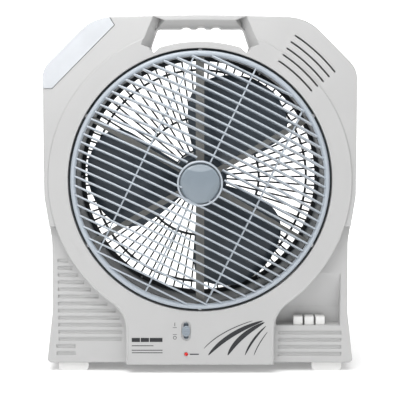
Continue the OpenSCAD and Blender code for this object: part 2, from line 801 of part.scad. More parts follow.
module fan_rotor() {
    color([0.29, 0.33, 0.37]) difference() {
        union() {
            for (i = [0:blade_count - 1]) {
                translate([0, rotor_y, ring_z]) rotate([0, -first_blade - i * 360 / blade_count, 0]) blade();
            }
            turned([[0, rotor_y0 - 1], [rotor_hub_r - 5, rotor_y0 - 1], [rotor_hub_r, rotor_y0 + 3], [rotor_hub_r, rotor_y0 + blade_depth], [0, rotor_y0 + blade_depth]]);
        }
        ytube(rotor_hub_r - hub_wall, 8, rotor_y0 + 1.8, rotor_y0 + blade_depth + 1, 0, ring_z);
        ycyl(9, motor_y - 3, rotor_y0 + blade_depth + 1, 0, ring_z);
        ycyl(shaft_r, rotor_y0 - 3, rotor_y0 + blade_depth + 1, 0, ring_z);
    }
}

nut_r = 11;
module rotor_nut() {
    color([0.20, 0.23, 0.26]) difference() {
        turned([[0, rotor_y0 - 7.5], [nut_r - 4, rotor_y0 - 7.5], [nut_r - 1, rotor_y0 - 6], [nut_r, rotor_y0 - 1], [0, rotor_y0 - 1]]);
        ycyl(shaft_r, rotor_y0 - 6, rotor_y0, 0, ring_z);
        for (i = [0:5]) {
            at_rim(i * 60, nut_r + 1.5) ycyl(2.6, rotor_y0 - 9, rotor_y0);
        }
    }
}

// ---------- motor ----------

motor_y = guard_y - motor_l;
motor_bush_r = 6;
motor_screw_pcd = 26;
motor_screw_angles = [0, 180];
cover_screw_angles = [45, 165, 285];
case_wall = 1.4;
end_cap_l = 8;
shaft_y0 = rotor_y0 - 5.5;
shaft_y1 = guard_y + 1.5;

module motor_shaft() {
    color("silver") ycyl(shaft_r, shaft_y0, shaft_y1, 0, ring_z);
}
core_r = motor_r - case_wall - 4.6;
core_y0 = motor_y + 8;
core_y1 = guard_y - end_cap_l - 9;
module armature() {
    color([0.55, 0.42, 0.30]) difference() {
        union() {
            ycyl(core_r, core_y0, core_y1, 0, ring_z);
            ycyl(core_r - 3, core_y0 - 2, core_y1 + 2, 0, ring_z);
        }
        ycyl(shaft_r, core_y0 - 3, core_y1 + 3, 0, ring_z);
        for (i = [0:4]) {
            translate([0, 0, ring_z]) rotate([0, i * 72, 0]) box([core_r - 4, core_y0 - 3, -1], [core_r + 1, core_y1 + 3, 1]);
        }
    }
}
module commutator() {
    color([0.80, 0.48, 0.25]) ytube(5.5, shaft_r, core_y1 + 2.2, core_y1 + 8, 0, ring_z);
}
module motor_case() {
    color([0.65, 0.66, 0.68]) difference() {
        ycyl(motor_r, motor_y, guard_y - end_cap_l, 0, ring_z);
        ycyl(motor_r - case_wall, motor_y + case_wall, guard_y - end_cap_l + 1, 0, ring_z);
        ycyl(motor_bush_r, motor_y - 1, motor_y + 3, 0, ring_z);
    }
}
module motor_magnets() {
    color([0.25, 0.25, 0.26]) difference() {
        ytube(motor_r - case_wall, core_r + 1, core_y0, core_y1, 0, ring_z);
        translate([0, 0, ring_z]) box([-4, core_y0 - 1, -motor_r], [4, core_y1 + 1, motor_r]);
    }
}
module motor_bush_front() {
    color([0.80, 0.60, 0.30]) ytube(motor_bush_r, shaft_r + run, motor_y, motor_y + 5, 0, ring_z);
}
module motor_bush_rear() {
    color([0.80, 0.60, 0.30]) ytube(motor_bush_r, shaft_r + run, guard_y - 5, guard_y, 0, ring_z);
}
module motor_end_cap() {
    color([0.15, 0.15, 0.16]) difference() {
        ycyl(motor_r, guard_y - end_cap_l, guard_y, 0, ring_z);
        ycyl(9, guard_y - end_cap_l - 1, guard_y - 4, 0, ring_z);
        ycyl(motor_bush_r, guard_y - 5, guard_y + 1, 0, ring_z);
        for (a = motor_screw_angles) {
            at_rim(a, motor_screw_pcd / 2) ycyl(screw_r + run, guard_y - 6, guard_y + 1);
        }
    }
}
module motor_screws() {
    color("silver") for (a = motor_screw_angles) {
        at_rim(a, motor_screw_pcd / 2) screw_from_back(guard_y + guard_t, 9);
    }
    color("silver") for (a = cover_screw_angles) {
        at_rim(a, guard_hub_r - 5) screw_from_back(cover_y1, cover_y1 - guard_y);
    }
}
// Screw whose head sits behind the depth y and whose shank runs forward by l
module screw_from_back(y, l) {
    difference() {
        ycyl(2.8, y, y + 1.8);
        box([-3, y + 1, -0.4], [3, y + 2, 0.4]);
        box([-0.4, y + 1, -3], [0.4, y + 2, 3]);
    }
    ycyl(screw_r, y - l, y + eps);
}
cover_y1 = guard_y + guard_t + 9;
module motor_cover() {
    color([0.14, 0.15, 0.17]) difference() {
        turned([[0, guard_y + guard_t], [guard_hub_r, guard_y + guard_t], [guard_hub_r, cover_y1 - 3], [guard_hub_r - 3, cover_y1], [0, cover_y1]]);
        ycyl(guard_hub_r - 10, guard_y, cover_y1 - 2, 0, ring_z);
        for (a = cover_screw_angles) {
            at_rim(a, guard_hub_r - 5) ycyl(screw_r + 0.3, guard_y, cover_y1 + 1);
        }
        translate([0, 0, ring_z]) box([-3, guard_y + guard_t - 1, -guard_hub_r - 1], [3, guard_y + guard_t + 4, -guard_hub_r + 12]);
    }
}

// ---------- lamp ----------

module lamp_diffuser() {
    color([0.82, 0.83, 0.85]) difference() {
        intersection() {
            slab(face_y, face_y + lamp_depth - 0.2) lamp_band(0);
            union() {
                shoulders(-0.9, 0.5);
                body_block(wing_y - 4, part_y, 0.5);
            }
        }
        intersection() {
            slab(face_y, face_y + lamp_depth + 1) lamp_band(-2);
            shoulders(1.1, 2.5);
        }
    }
}
module in_lamp() {
    translate([lamp_mid_x + lamp_w * 0.33, 0, lamp_mid_z - lamp_w * 0.33]) rotate([0, -45, 0]) children();
}
tray_y = face_y + lamp_depth - 4;
module lamp_tray() {
    color([0.93, 0.93, 0.93]) difference() {
        slab(tray_y, tray_y + 3.8) lamp_band(-2.6);
        in_lamp() box([-lamp_half_l * 0.72, tray_y - 1, -6], [lamp_half_l * 0.72, tray_y + 1.8, 6]);
        in_lamp() box([-lamp_half_l * 0.6, tray_y, -3], [lamp_half_l * 0.6, tray_y + 4, 3]);
    }
}
module lamp_board() {
    color([0.88, 0.90, 0.88]) in_lamp() box([-lamp_half_l * 0.7, tray_y + 0.2, -5.5], [lamp_half_l * 0.7, tray_y + 1.8, 5.5]);
}
module lamp_emitters() {
    color([0.95, 0.90, 0.55]) in_lamp() for (i = [0:lamp_leds_n - 1]) {
        x = lamp_half_l * 0.64 * (2 * i / (lamp_leds_n - 1) - 1);
        box([x - 1.8, tray_y - 1.2, -1.8], [x + 1.8, tray_y + 0.2, 1.8]);
    }
}

// ---------- controls ----------

module push_key(i) {
    x = key_x0 + i * key_pitch;
    color([0.95, 0.95, 0.95]) difference() {
        union() {
            box([x - key_w / 2, key_y0, ledge_z - 9], [x + key_w / 2, key_y0 + key_d, ledge_z + key_up]);
            box([x - 2.5, key_y0 + key_d / 2 - 2, ledge_z - 20], [x + 2.5, key_y0 + key_d / 2 + 2, ledge_z - 9]);
        }
        translate([x, key_y0 + key_d * 0.45, ledge_z + key_up + 16]) rotate([0, 90, 0]) cylinder(r = 16.8, h = key_w + 2, center = true);
    }
}
block_top = ledge_z - 9 - key_travel - 1;
module key_switch_block() {
    color([0.20, 0.20, 0.21]) difference() {
        box([key_x0 - key_w / 2 - 3, key_y0 - 1, body_z + wall + 3], [key_x0 + (key_count - 1) * key_pitch + key_w / 2 + 3, key_y0 + key_d + 4, block_top]);
        for (i = [0:key_count - 1]) {
            x = key_x0 + i * key_pitch;
            box([x - 2.5 - fit, key_y0 + key_d / 2 - 2 - fit, ledge_z - 20 - key_travel - 1], [x + 2.5 + fit, key_y0 + key_d / 2 + 2 + fit, block_top + 1]);
        }
    }
}
knob_h = 12;
module slide_knob() {
    color([0.42, 0.47, 0.52]) translate([switch_x, 0, switch_z]) difference() {
        union() {
            slab(face_y - 1.6, face_y + 0.9) oval(switch_w - 1.6, knob_h + 2);
            box([-2.4, face_y + 0.8, -5], [2.4, face_y + wall + 3, 5]);
        }
        for (i = [-2:2]) {
            box([-6, face_y - 2, i * 2.4 - 0.6], [6, face_y - 0.8, i * 2.4 + 0.6]);
        }
    }
}
module slide_switch_body() {
    color([0.55, 0.56, 0.58]) translate([switch_x, 0, switch_z]) difference() {
        box([-7, face_y + wall, -16], [7, face_y + wall + 9, 16]);
        box([-2.4 - fit, face_y + wall - 1, -5 - slide_travel / 2 - fit], [2.4 + fit, face_y + wall + 3 + fit, 5 + slide_travel / 2 + fit]);
    }
}
module charge_light() {
    color([0.85, 0.10, 0.08]) {
        ycyl(light_r, face_y - 0.6, face_y + wall + 1, switch_x, light_z);
        ycyl(light_r + 0.8, face_y + wall, face_y + wall + 1.2, switch_x, light_z);
        translate([switch_x, face_y - 0.6, light_z]) sphere(r = 1.6);
    }
}

// ---------- electrics ----------

board_y = face_y + wall + 9.5;
board_x0 = -70;
board_x1 = 40;
module control_board() {
    color([0.10, 0.40, 0.22]) box([board_x0, board_y, body_z + wall + 3], [board_x1, board_y + 1.6, body_z + 68]);
}
module board_parts() {
    z = body_z + 20;
    color([0.10, 0.10, 0.12]) {
        translate([-50, board_y + 1.6, z]) rotate([-90, 0, 0]) cylinder(r = 6, h = 9);
        translate([-32, board_y + 1.6, z]) rotate([-90, 0, 0]) cylinder(r = 5, h = 8);
        box([-10, board_y + 1.6, z - 6], [6, board_y + 8, z + 8]);
        box([14, board_y + 1.6, z - 4], [28, board_y + 6, z + 20]);
        box([-60, board_y + 1.6, z + 20], [-34, board_y + 7, z + 30]);
    }
}
battery_y0 = base_y - wall - 2 - battery_size[2];
module battery() {
    color([0.16, 0.17, 0.19]) {
        box([-battery_size[0] / 2, battery_y0, battery_z], [battery_size[0] / 2 - 5, battery_y0 + battery_size[2], battery_z + battery_size[1]]);
    }
}
module battery_terminals() {
    color("silver") for (y = [14, battery_size[2] - 14]) {
        box([battery_size[0] / 2 - 5, battery_y0 + y - 3, battery_z + 20], [battery_size[0] / 2 + 2, battery_y0 + y + 3, battery_z + 21]);
    }
}
module battery_cradle() {
    x = battery_size[0] / 2;
    color([0.30, 0.31, 0.32]) difference() {
        box([-x - 4, battery_y0 - 2.5, body_z + wall], [x - 5 + 4, battery_y0 + battery_size[2] - 2, battery_z + 16]);
        box([-x - 0.2, battery_y0 - 0.2, battery_z], [x - 4.8, battery_y0 + battery_size[2] + 1, battery_z + 20]);
    }
}
core_x = -half_w + waist_in + 30;
core_y = part_y - 6;
core_z = body_z + wall + 2;
module transformer_core() {
    color([0.45, 0.45, 0.47]) difference() {
        box([core_x, core_y, core_z], [core_x + core_size[0], core_y + core_size[2], core_z + core_size[1]]);
        for (k = [0, 1]) {
            x = core_x + 7 + k * (core_size[0] / 2 - 1);
            box([x, core_y - 1, core_z + 7], [x + core_size[0] / 2 - 13, core_y + core_size[2] + 1, core_z + core_size[1] - 7]);
        }
    }
}
module transformer_coil() {
    color([0.75, 0.45, 0.20]) difference() {
        box([core_x + 7.2, core_y - 7, core_z + 7.2], [core_x + core_size[0] - 7.2, core_y + core_size[2] + 7, core_z + core_size[1] - 7.2]);
        box([core_x + core_size[0] / 2 - 6.2, core_y - 0.2, core_z], [core_x + core_size[0] / 2 + 6.2, core_y + core_size[2] + 0.2, core_z + core_size[1]]);
    }
}
pin_r = 1.2;
pin_dx = 4.1;
module mains_inlet() {
    color([0.10, 0.10, 0.11]) difference() {
        box([inlet_x - inlet_w / 2 + 0.2, base_y - 17.5, inlet_z - inlet_h / 2 + 0.2], [inlet_x + inlet_w / 2 - 0.2, base_y - 1, inlet_z + inlet_h / 2 - 0.2]);
        slab(base_y - 13.5, base_y + 1) translate([inlet_x, inlet_z]) {
            translate([-3.6, 0]) circle(r = 3.9);
            translate([3.6, 0]) circle(r = 3.9);
        }
        for (s = [-1, 1]) {
            ycyl(pin_r, base_y - 15, base_y - 13, inlet_x + s * pin_dx, inlet_z);
        }
    }
}
module inlet_pins() {
    color("silver") for (s = [-1, 1]) {
        ycyl(pin_r, base_y - 15, base_y - 3, inlet_x + s * pin_dx, inlet_z);
    }
}

// ---------- feet and screws ----------

foot_x = half_w - waist_in - 26;
foot_front_y = wing_y + 4;
foot_rear_y = base_y - foot_l - 8;
foot_seat_z = 5.8;
function foot_corners() = [[-foot_w / 2, 0, 5], [foot_w / 2, 0, 5], [foot_w / 2, foot_h, 0.5], [-foot_w / 2, foot_h, 0.5]];
module foot(x, y) {
    color([0.88, 0.88, 0.88]) difference() {
        translate([x, 0, 0]) slab(y, y + foot_l) polygon(rounded(foot_corners(), 0, 4));
        translate([x, y + foot_l / 2, -1]) cylinder(r = 3.6, h = foot_seat_z + 1);
        translate([x, y + foot_l / 2, -1]) cylinder(r = screw_r + 0.3, h = foot_h + 2);
    }
}
module at_foot_screws() {
    for (x = [-foot_x, foot_x]) {
        for (y = [foot_front_y, foot_rear_y]) {
            translate([x, y + foot_l / 2, body_z - 1]) children();
        }
    }
}
module foot_screws() {
    color("silver") at_foot_screws() {
        translate([0, 0, foot_seat_z - 0.8 - body_z]) cylinder(r = 3, h = 1.8);
        translate([0, 0, foot_seat_z - body_z]) cylinder(r = screw_r, h = foot_h);
    }
}
module shell_screws() {
    color("silver") for (p = posts) {
        translate([p[0], 0, p[1]]) screw_from_back(post_seat(p[1]), post_seat(p[1]) - part_y + 12);
    }
}
module guard_screws() {
    color("silver") for (a = guard_angles) {
        at_rim(a, guard_screw_r) screw_from_back(back_y, guard_lip_t + guard_t - 0.5);
    }
}
module spider_screws() {
    color("silver") for (a = spider_angles) {
        at_rim(a, spider_screw_r) {
            ycyl(2.4, spider_y - 0.9, spider_y);
            ycyl(screw_r, spider_y - 0.5, lip_y + lip_t - 0.3);
        }
    }
}

// ---------- leads, each held inside the body ----------

lead_r = 1.4;
side_x = (collar_r + half_w - wall) / 2;
module lamp_lead() {
    color([0.75, 0.10, 0.10]) lead([
        [board_x0 + 6, part_y + 4, body_z + 60], [-120, part_y + 6, body_z + 60], [-side_x + 12, part_y + 8, body_z + 90],
        [-side_x, part_y + 10, ring_z - 20], [-side_x - 0.5, part_y + 9, ring_z + 40], [-side_x + 8, part_y - 6, ring_z + 120], [lamp_mid_x + 16, tray_y + 12, lamp_mid_z - 22],
    ], lead_r);
}
module motor_lead() {
    color([0.12, 0.12, 0.13]) lead([
        [0, guard_y + guard_t + 1.7, ring_z - guard_hub_r + 8], [0, guard_y + guard_t + 1.7, ring_z - duct_r - 13], [-6, guard_y + guard_t, ring_z - duct_r - 20],
    ], lead_r);
}
module battery_lead() {
    color([0.75, 0.10, 0.10]) lead([
        [battery_size[0] / 2 + 4, battery_y0 + 14, battery_z + 20.5], [battery_size[0] / 2 + 6, battery_y0 + 4, battery_z + 24], [34, board_y + 12, body_z + 50], [34, board_y + 3, body_z + 52],
    ], lead_r);
}

front_shell();
rear_shell();
duct_shroud();
rear_guard();
front_spider();
grille_axle();
axle_screw();
louvre_grille();
grille_bush();
hub_cap();
fan_rotor();
rotor_nut();
motor_shaft();
armature();
commutator();
motor_case();
motor_magnets();
motor_end_cap();
motor_bush_front();
motor_bush_rear();
motor_cover();
motor_screws();
lamp_diffuser();
lamp_tray();
lamp_board();
lamp_emitters();
push_key(0);  // push_key_1
push_key(1);  // push_key_2
push_key(2);  // push_key_3
key_switch_block();
slide_knob();
slide_switch_body();
charge_light();
control_board();
board_parts();
transformer_core();
transformer_coil();
battery();
battery_terminals();
battery_cradle();
mains_inlet();
inlet_pins();
foot(-foot_x, foot_front_y);  // foot_front_left
foot(foot_x, foot_front_y);  // foot_front_right
foot(-foot_x, foot_rear_y);  // foot_rear_left
foot(foot_x, foot_rear_y);  // foot_rear_right
foot_screws();
shell_screws();
guard_screws();
spider_screws();
lamp_lead();
motor_lead();
battery_lead();
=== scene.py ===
"""Looks of a portable rechargeable box fan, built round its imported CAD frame.

Every piece is in metres in the frame of the part: X to the right, Y to the back, Z up. Shapes are
worked out in millimetres with numpy and scaled once, when their mesh is made.
"""

import json
import logging
import math
from dataclasses import dataclass, field
from enum import Enum
from typing import Any, Optional, Sequence, Union

import bmesh
import bpy
import numpy as np
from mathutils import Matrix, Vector


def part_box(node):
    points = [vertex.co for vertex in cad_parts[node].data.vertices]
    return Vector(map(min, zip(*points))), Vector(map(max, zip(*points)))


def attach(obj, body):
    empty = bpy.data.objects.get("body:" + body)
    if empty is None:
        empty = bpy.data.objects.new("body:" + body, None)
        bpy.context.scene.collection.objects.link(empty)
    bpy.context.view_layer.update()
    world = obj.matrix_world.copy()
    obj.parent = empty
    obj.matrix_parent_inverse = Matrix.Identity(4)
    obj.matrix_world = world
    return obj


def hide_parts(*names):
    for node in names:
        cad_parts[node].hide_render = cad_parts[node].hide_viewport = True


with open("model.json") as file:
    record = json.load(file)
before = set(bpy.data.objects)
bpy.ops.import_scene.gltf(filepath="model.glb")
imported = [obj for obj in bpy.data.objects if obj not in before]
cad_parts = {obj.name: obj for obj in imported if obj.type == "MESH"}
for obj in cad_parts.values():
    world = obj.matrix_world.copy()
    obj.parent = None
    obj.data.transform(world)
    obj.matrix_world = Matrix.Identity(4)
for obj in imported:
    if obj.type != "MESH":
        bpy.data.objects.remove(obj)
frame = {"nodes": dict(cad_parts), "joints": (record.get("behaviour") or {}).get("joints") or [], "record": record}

LOG = logging.getLogger("box_fan")
MM = 0.001
MERGE_M = 2e-6
Points = np.ndarray


# ---------------------------------------------------------------- shader maths


class Value:
    """A number or colour on a shader socket, with the arithmetic of a plain number."""

    def __init__(self, recipe: "Recipe", socket: bpy.types.NodeSocket) -> None:
        """Keeps the socket and the recipe that it belongs to."""
        self.recipe = recipe
        self.socket = socket

    def _math(self, operation: str, first: Any, second: Any = None) -> "Value":
        """Adds one Math node for an operation on one or two values."""
        inputs = {0: first} if second is None else {0: first, 1: second}
        return self.recipe.node("ShaderNodeMath", {"operation": operation}, inputs)

    def __add__(self, other: Any) -> "Value":
        """Sum."""
        return self._math("ADD", self, other)

    __radd__ = __add__

    def __sub__(self, other: Any) -> "Value":
        """Difference."""
        return self._math("SUBTRACT", self, other)

    def __rsub__(self, other: Any) -> "Value":
        """Difference from a plain number, so that 1 - mask works."""
        return self._math("SUBTRACT", other, self)

    def __mul__(self, other: Any) -> "Value":
        """Product."""
        return self._math("MULTIPLY", self, other)

    __rmul__ = __mul__

    def __truediv__(self, other: Any) -> "Value":
        """Quotient."""
        return self._math("DIVIDE", self, other)

    def clamp(self) -> "Value":
        """The value held between 0 and 1."""
        return self._math("MINIMUM", self._math("MAXIMUM", self, 0.0), 1.0)

    def step(self, low: float, high: float) -> "Value":
        """A smooth rise from 0 at low to 1 at high."""
        settings = {"interpolation_type": "SMOOTHSTEP"}
        inputs = {0: self, 1: low, 2: high, 3: 0.0, 4: 1.0}
        return self.recipe.node("ShaderNodeMapRange", settings, inputs)


class Recipe:
    """The node tree of one material, with one method that adds any node."""

    def __init__(self, name: str) -> None:
        """Starts an empty material called name."""
        self.material = bpy.data.materials.new(name)
        self.material.use_nodes = True
        self.tree = self.material.node_tree
        self.tree.nodes.clear()

    def node(
        self,
        kind: str,
        settings: Optional[dict[str, Any]] = None,
        inputs: Optional[dict[Union[int, str], Any]] = None,
        output: Union[int, str] = 0,
    ) -> Value:
        """Adds a node, sets it up, and then fills or links its sockets.

        Args:
            kind: the node's type name.
            settings: the node's own properties; "stops" is a ramp's list of (place, colour).
            inputs: a number, colour or Value for each socket named or numbered.
            output: the socket that carries the result.

        Returns:
            The result as a Value.
        """
        made = self.tree.nodes.new(kind)
        for key, value in (settings or {}).items():
            if key == "stops":
                while len(made.color_ramp.elements) < len(value):
                    made.color_ramp.elements.new(0.5)
                for element, (place, colour) in zip(made.color_ramp.elements, value):
                    element.position = place
                    element.color = (*colour, 1.0)
            else:
                setattr(made, key, value)
        for key, value in (inputs or {}).items():
            if isinstance(value, Value):
                self.tree.links.new(value.socket, made.inputs[key])
            else:
                made.inputs[key].default_value = value
        return Value(self, made.outputs[output])

    def place(self, stretch: Sequence[float] = (1.0, 1.0, 1.0)) -> Value:
        """Object coordinates, stretched by a Mapping node."""
        where = self.node("ShaderNodeTexCoord", output="Object")
        return self.node("ShaderNodeMapping", {}, {"Vector": where, "Scale": tuple(stretch)})

    def noise(self, where: Value, size_mm: float, detail: float = 3.0, rough: float = 0.5) -> Value:
        """Noise from 0 to 1 whose blobs are about size_mm across."""
        inputs = {"Vector": where, "Scale": 1.0 / (size_mm * MM), "Detail": detail, "Roughness": rough}
        return self.node("ShaderNodeTexNoise", {}, inputs, "Fac")

    def cells(self, where: Value, size_mm: float) -> Value:
        """Distance to the nearest of scattered points about size_mm apart."""
        inputs = {"Vector": where, "Scale": 1.0 / (size_mm * MM)}
        return self.node("ShaderNodeTexVoronoi", {}, inputs, "Distance")

    def facing(self, axis: int) -> Value:
        """How far a surface looks along an axis: 0 for X, 1 for Y and 2 for Z."""
        normal = self.node("ShaderNodeNewGeometry", output="Normal")
        return self.node("ShaderNodeSeparateXYZ", {}, {0: normal}, axis)

    def blend(self, mask: Any, low: Any, high: Any) -> Value:
        """A colour that goes from low to high as mask goes from 0 to 1."""
        inputs = {"Factor": mask, 6: low, 7: high}
        return self.node("ShaderNodeMix", {"data_type": "RGBA"}, inputs, 2)

    def bump(self, height: Value, depth_mm: float, edge_mm: float = 0.0) -> Value:
        """A normal from a height of 0 to 1 that stands for depth_mm.

        Args:
            height: the height.
            depth_mm: the depth that a height of 1 stands for.
            edge_mm: radius by which crisp edges look eased, or 0.

        Returns:
            The normal.
        """
        inputs: dict[Union[int, str], Any] = {"Height": height, "Distance": depth_mm * MM, "Strength": 1.0}
        if edge_mm:
            inputs["Normal"] = self.node("ShaderNodeBevel", {"samples": 6}, {"Radius": edge_mm * MM})
        return self.node("ShaderNodeBump", {}, inputs)

    def finish(self, surface: dict[str, Any]) -> bpy.types.Material:
        """Ends the recipe in one Principled shader with these sockets."""
        shader = self.node("ShaderNodeBsdfPrincipled", {}, surface)
        self.node_output(shader)
        return self.material

    def node_output(self, shader: Value) -> None:
        """Links a shader to the material's output."""
        out = self.tree.nodes.new("ShaderNodeOutputMaterial")
        self.tree.links.new(shader.socket, out.inputs["Surface"])


def tone(colour: Sequence[float], gain: float) -> tuple[float, float, float, float]:
    """A colour made lighter or darker by gain, with full alpha."""
    r, g, b = (min(1.0, c * gain) for c in colour)
    return (r, g, b, 1.0)


# ---------------------------------------------------------------- finishes

BROAD_MM = 60.0
WIRE_BAND = 0.012
DUST_COLOUR = (0.62, 0.60, 0.57, 1.0)


class Texture(Enum):
    """How a surface is worked, which decides its fine detail."""

    MOULDED = "moulded"
    FROSTED = "frosted"
    BRUSHED = "brushed"
    SINTERED = "sintered"
    WOUND = "wound"
    LAMINATE = "laminate"
    PRINTED = "printed"


@dataclass(frozen=True)
class Finish:
    """One finish of the fan.

    Attributes:
        slot: the record's material slot.
        colour: linear base colour.
        texture: how the surface is worked.
        rough: middle roughness.
        metal: 1 for bare metal.
        grain_mm: size of the fine grain.
        depth_mm: depth of the grain.
        mottle: how much the colour varies, as a share.
        gloss: clear coat weight.
        dust: how much pale dust gathers on faces that look up.
        edge_mm: radius of the moulding's eased edges.
        painted_rim_shade_gain: painted shade, the gain that darkens a frosted piece's colour where it turns away
            from the front.
    """

    slot: str
    colour: tuple[float, float, float]
    texture: Texture = Texture.MOULDED
    rough: float = 0.42
    metal: float = 0.0
    grain_mm: float = 0.9
    depth_mm: float = 0.02
    mottle: float = 0.04
    gloss: float = 0.0
    dust: float = 0.0
    edge_mm: float = 0.0
    painted_rim_shade_gain: float = 1.0

    def material(self) -> bpy.types.Material:
        """Builds the finish's node tree.

        Returns:
            The material, named after the slot.
        """
        r = Recipe(self.slot)
        where = r.place()
        broad = r.noise(where, BROAD_MM, 2.0)
        fine = r.noise(where, self.grain_mm, 4.0, 0.6)
        rough: Any = broad * 0.10 + (self.rough - 0.05) + fine * 0.06
        pale, deep = tone(self.colour, 1 + self.mottle), tone(self.colour, 1 - self.mottle)
        colour: Any = r.blend(broad.step(0.25, 0.75), deep, pale)
        height = fine
        if self.texture is Texture.MOULDED:
            pits = r.cells(where, self.grain_mm * 1.4).step(0.1, 0.6)
            height = fine * 0.6 + pits * 0.4
            rough = rough + r.noise(where, 9.0, 6.0, 0.7).step(0.62, 0.74) * 0.06
        elif self.texture is Texture.BRUSHED:
            height = r.noise(r.place((0.06, 1.0, 0.06)), 0.35, 3.0)
            rough = height * 0.22 + (self.rough - 0.1)
            colour = self.between(r, height, 0.86, 1.08)
        elif self.texture is Texture.FROSTED:
            cloud = r.noise(where, 22.0, 3.0).step(0.3, 0.8)
            colour = self.between(r, cloud, 0.96, 1.03)
            # Painted shade: a frosted piece's colour is darkened where its surface turns away from the front,
            # which draws a dark rim round its rounded edges.
            front = (r.facing(1) * -1.0).step(0.72, 0.97)
            colour = r.blend(front, tone(self.colour, self.painted_rim_shade_gain), colour)
        elif self.texture is Texture.SINTERED:
            height = r.cells(where, 0.5).step(0.05, 0.3)
            colour = self.between(r, height, 0.55, 1.05)
        elif self.texture is Texture.WOUND:
            inputs = {"Vector": where, "Scale": 1.0 / WIRE_BAND, "Distortion": 0.4}
            height = r.node("ShaderNodeTexWave", {"bands_direction": "Y"}, inputs, "Fac")
            colour = self.between(r, height, 0.45, 1.15)
        elif self.texture is Texture.LAMINATE:
            height = r.cells(r.place((1.0, 0.2, 1.0)), 1.1)
            tracks = r.noise(r.place((1.0, 1.0, 0.15)), 5.0, 0.0).step(0.52, 0.56)
            colour = self.between(r, tracks, 0.85, 1.35)
        elif self.texture is Texture.PRINTED:
            ink = r.noise(where, 0.35, 2.0).step(0.2, 0.5)
            colour = self.between(r, ink, 1.5, 1.0)
        if self.dust:
            film = (r.facing(2).step(0.55, 0.98) * r.noise(where, 12.0, 5.0, 0.65)) * self.dust
            colour = r.blend(film, colour, DUST_COLOUR)
            rough = rough + film * 0.5
        surface: dict[str, Any] = {
            "Base Color": colour,
            "Roughness": rough,
            "Normal": r.bump(height, self.depth_mm, self.edge_mm),
            "Metallic": self.metal,
            "Coat Weight": self.gloss,
        }
        if self.texture is Texture.FROSTED:
            surface["Subsurface Weight"] = 0.25
            surface["Subsurface Radius"] = (0.6, 0.6, 0.6)
            surface["Subsurface Scale"] = 0.004
        return r.finish(surface)

    def between(self, recipe: Recipe, mask: Value, low: float, high: float) -> Value:
        """The finish's colour at gain low where the mask is 0 and at gain high where it is 1."""
        return recipe.blend(mask, tone(self.colour, low), tone(self.colour, high))


FINISHES: tuple[Finish, ...] = (
    Finish(
        "shell_plastic", (0.500, 0.500, 0.499), rough=0.40, grain_mm=0.8, depth_mm=0.012,
        mottle=0.012, dust=0.10, edge_mm=2.4,
    ),
    Finish(
        "duct_plastic", (0.060, 0.078, 0.094), rough=0.46, grain_mm=1.0, mottle=0.06, dust=0.25,
        edge_mm=0.6,
    ),
    Finish("guard_plastic", (0.026, 0.029, 0.033), rough=0.48, mottle=0.08, dust=0.2),
    Finish("spider_plastic", (0.300, 0.292, 0.272), rough=0.44, mottle=0.03, dust=0.2),
    Finish(
        "grille_plastic", (0.430, 0.475, 0.525), rough=0.33, grain_mm=0.9, depth_mm=0.008,
        mottle=0.015, gloss=0.15, dust=0.15,
    ),
    Finish(
        "cap_plastic", (0.215, 0.258, 0.298), rough=0.26, grain_mm=0.8, depth_mm=0.006, mottle=0.02,
        gloss=0.25,
    ),
    Finish(
        "rotor_plastic", (0.062, 0.080, 0.100), rough=0.30, depth_mm=0.01, mottle=0.06, gloss=0.2,
        dust=0.3,
    ),
    Finish("steel", (0.62, 0.62, 0.64), Texture.BRUSHED, rough=0.30, metal=1.0, depth_mm=0.004),
    Finish("bearing_bronze", (0.62, 0.42, 0.18), Texture.SINTERED, rough=0.42, metal=1.0, depth_mm=0.01),
    Finish("motor_steel", (0.42, 0.43, 0.45), Texture.BRUSHED, rough=0.38, metal=1.0, depth_mm=0.005),
    Finish("copper", (0.60, 0.23, 0.08), Texture.WOUND, rough=0.32, metal=1.0, depth_mm=0.15),
    Finish("magnet", (0.045, 0.045, 0.048), Texture.SINTERED, rough=0.7, depth_mm=0.02),
    Finish("black_plastic", (0.014, 0.014, 0.016), rough=0.45, mottle=0.1),
    # The lamp glazing gets painted shade round its rim, down to 0.45 of its colour.
    Finish(
        "lamp_glazing", (0.60, 0.62, 0.65), Texture.FROSTED, rough=0.34, grain_mm=0.6,
        depth_mm=0.010, gloss=0.2, painted_rim_shade_gain=0.45,
    ),
    Finish(
        "white_plastic", (0.80, 0.80, 0.79), rough=0.36, grain_mm=0.8, depth_mm=0.010, mottle=0.015,
        dust=0.08,
    ),
    Finish("board", (0.020, 0.160, 0.060), Texture.LAMINATE, rough=0.40, depth_mm=0.03, gloss=0.3),
    Finish("emitter", (0.85, 0.70, 0.22), Texture.FROSTED, rough=0.3, depth_mm=0.01),
    Finish("knob_plastic", (0.340, 0.390, 0.440), rough=0.42, mottle=0.04, dust=0.1),
    Finish("light_lens", (0.62, 0.012, 0.010), Texture.FROSTED, rough=0.18, depth_mm=0.004, gloss=0.6),
    Finish("battery_plastic", (0.022, 0.025, 0.030), rough=0.5, mottle=0.08, dust=0.2),
    Finish("lead_sleeve", (0.42, 0.012, 0.012), rough=0.40, grain_mm=2.0, depth_mm=0.03, mottle=0.06),
)
INK = Finish(
    "panel_ink", (0.012, 0.013, 0.016), Texture.PRINTED, rough=0.34, grain_mm=0.5, depth_mm=0.004, mottle=0.2,
)


# ---------------------------------------------------------------- meshes


@dataclass
class Shape:
    """Vertices in millimetres and the faces that join them."""

    points: Points
    faces: list[list[int]]

    def __add__(self, other: "Shape") -> "Shape":
        """Both shapes as one."""
        shift = len(self.points)
        moved = [[i + shift for i in f] for f in other.faces]
        return Shape(np.vstack([self.points, other.points]), self.faces + moved)


def joined(parts: Sequence[Shape]) -> Shape:
    """Several shapes as one."""
    return sum(parts[1:], parts[0])


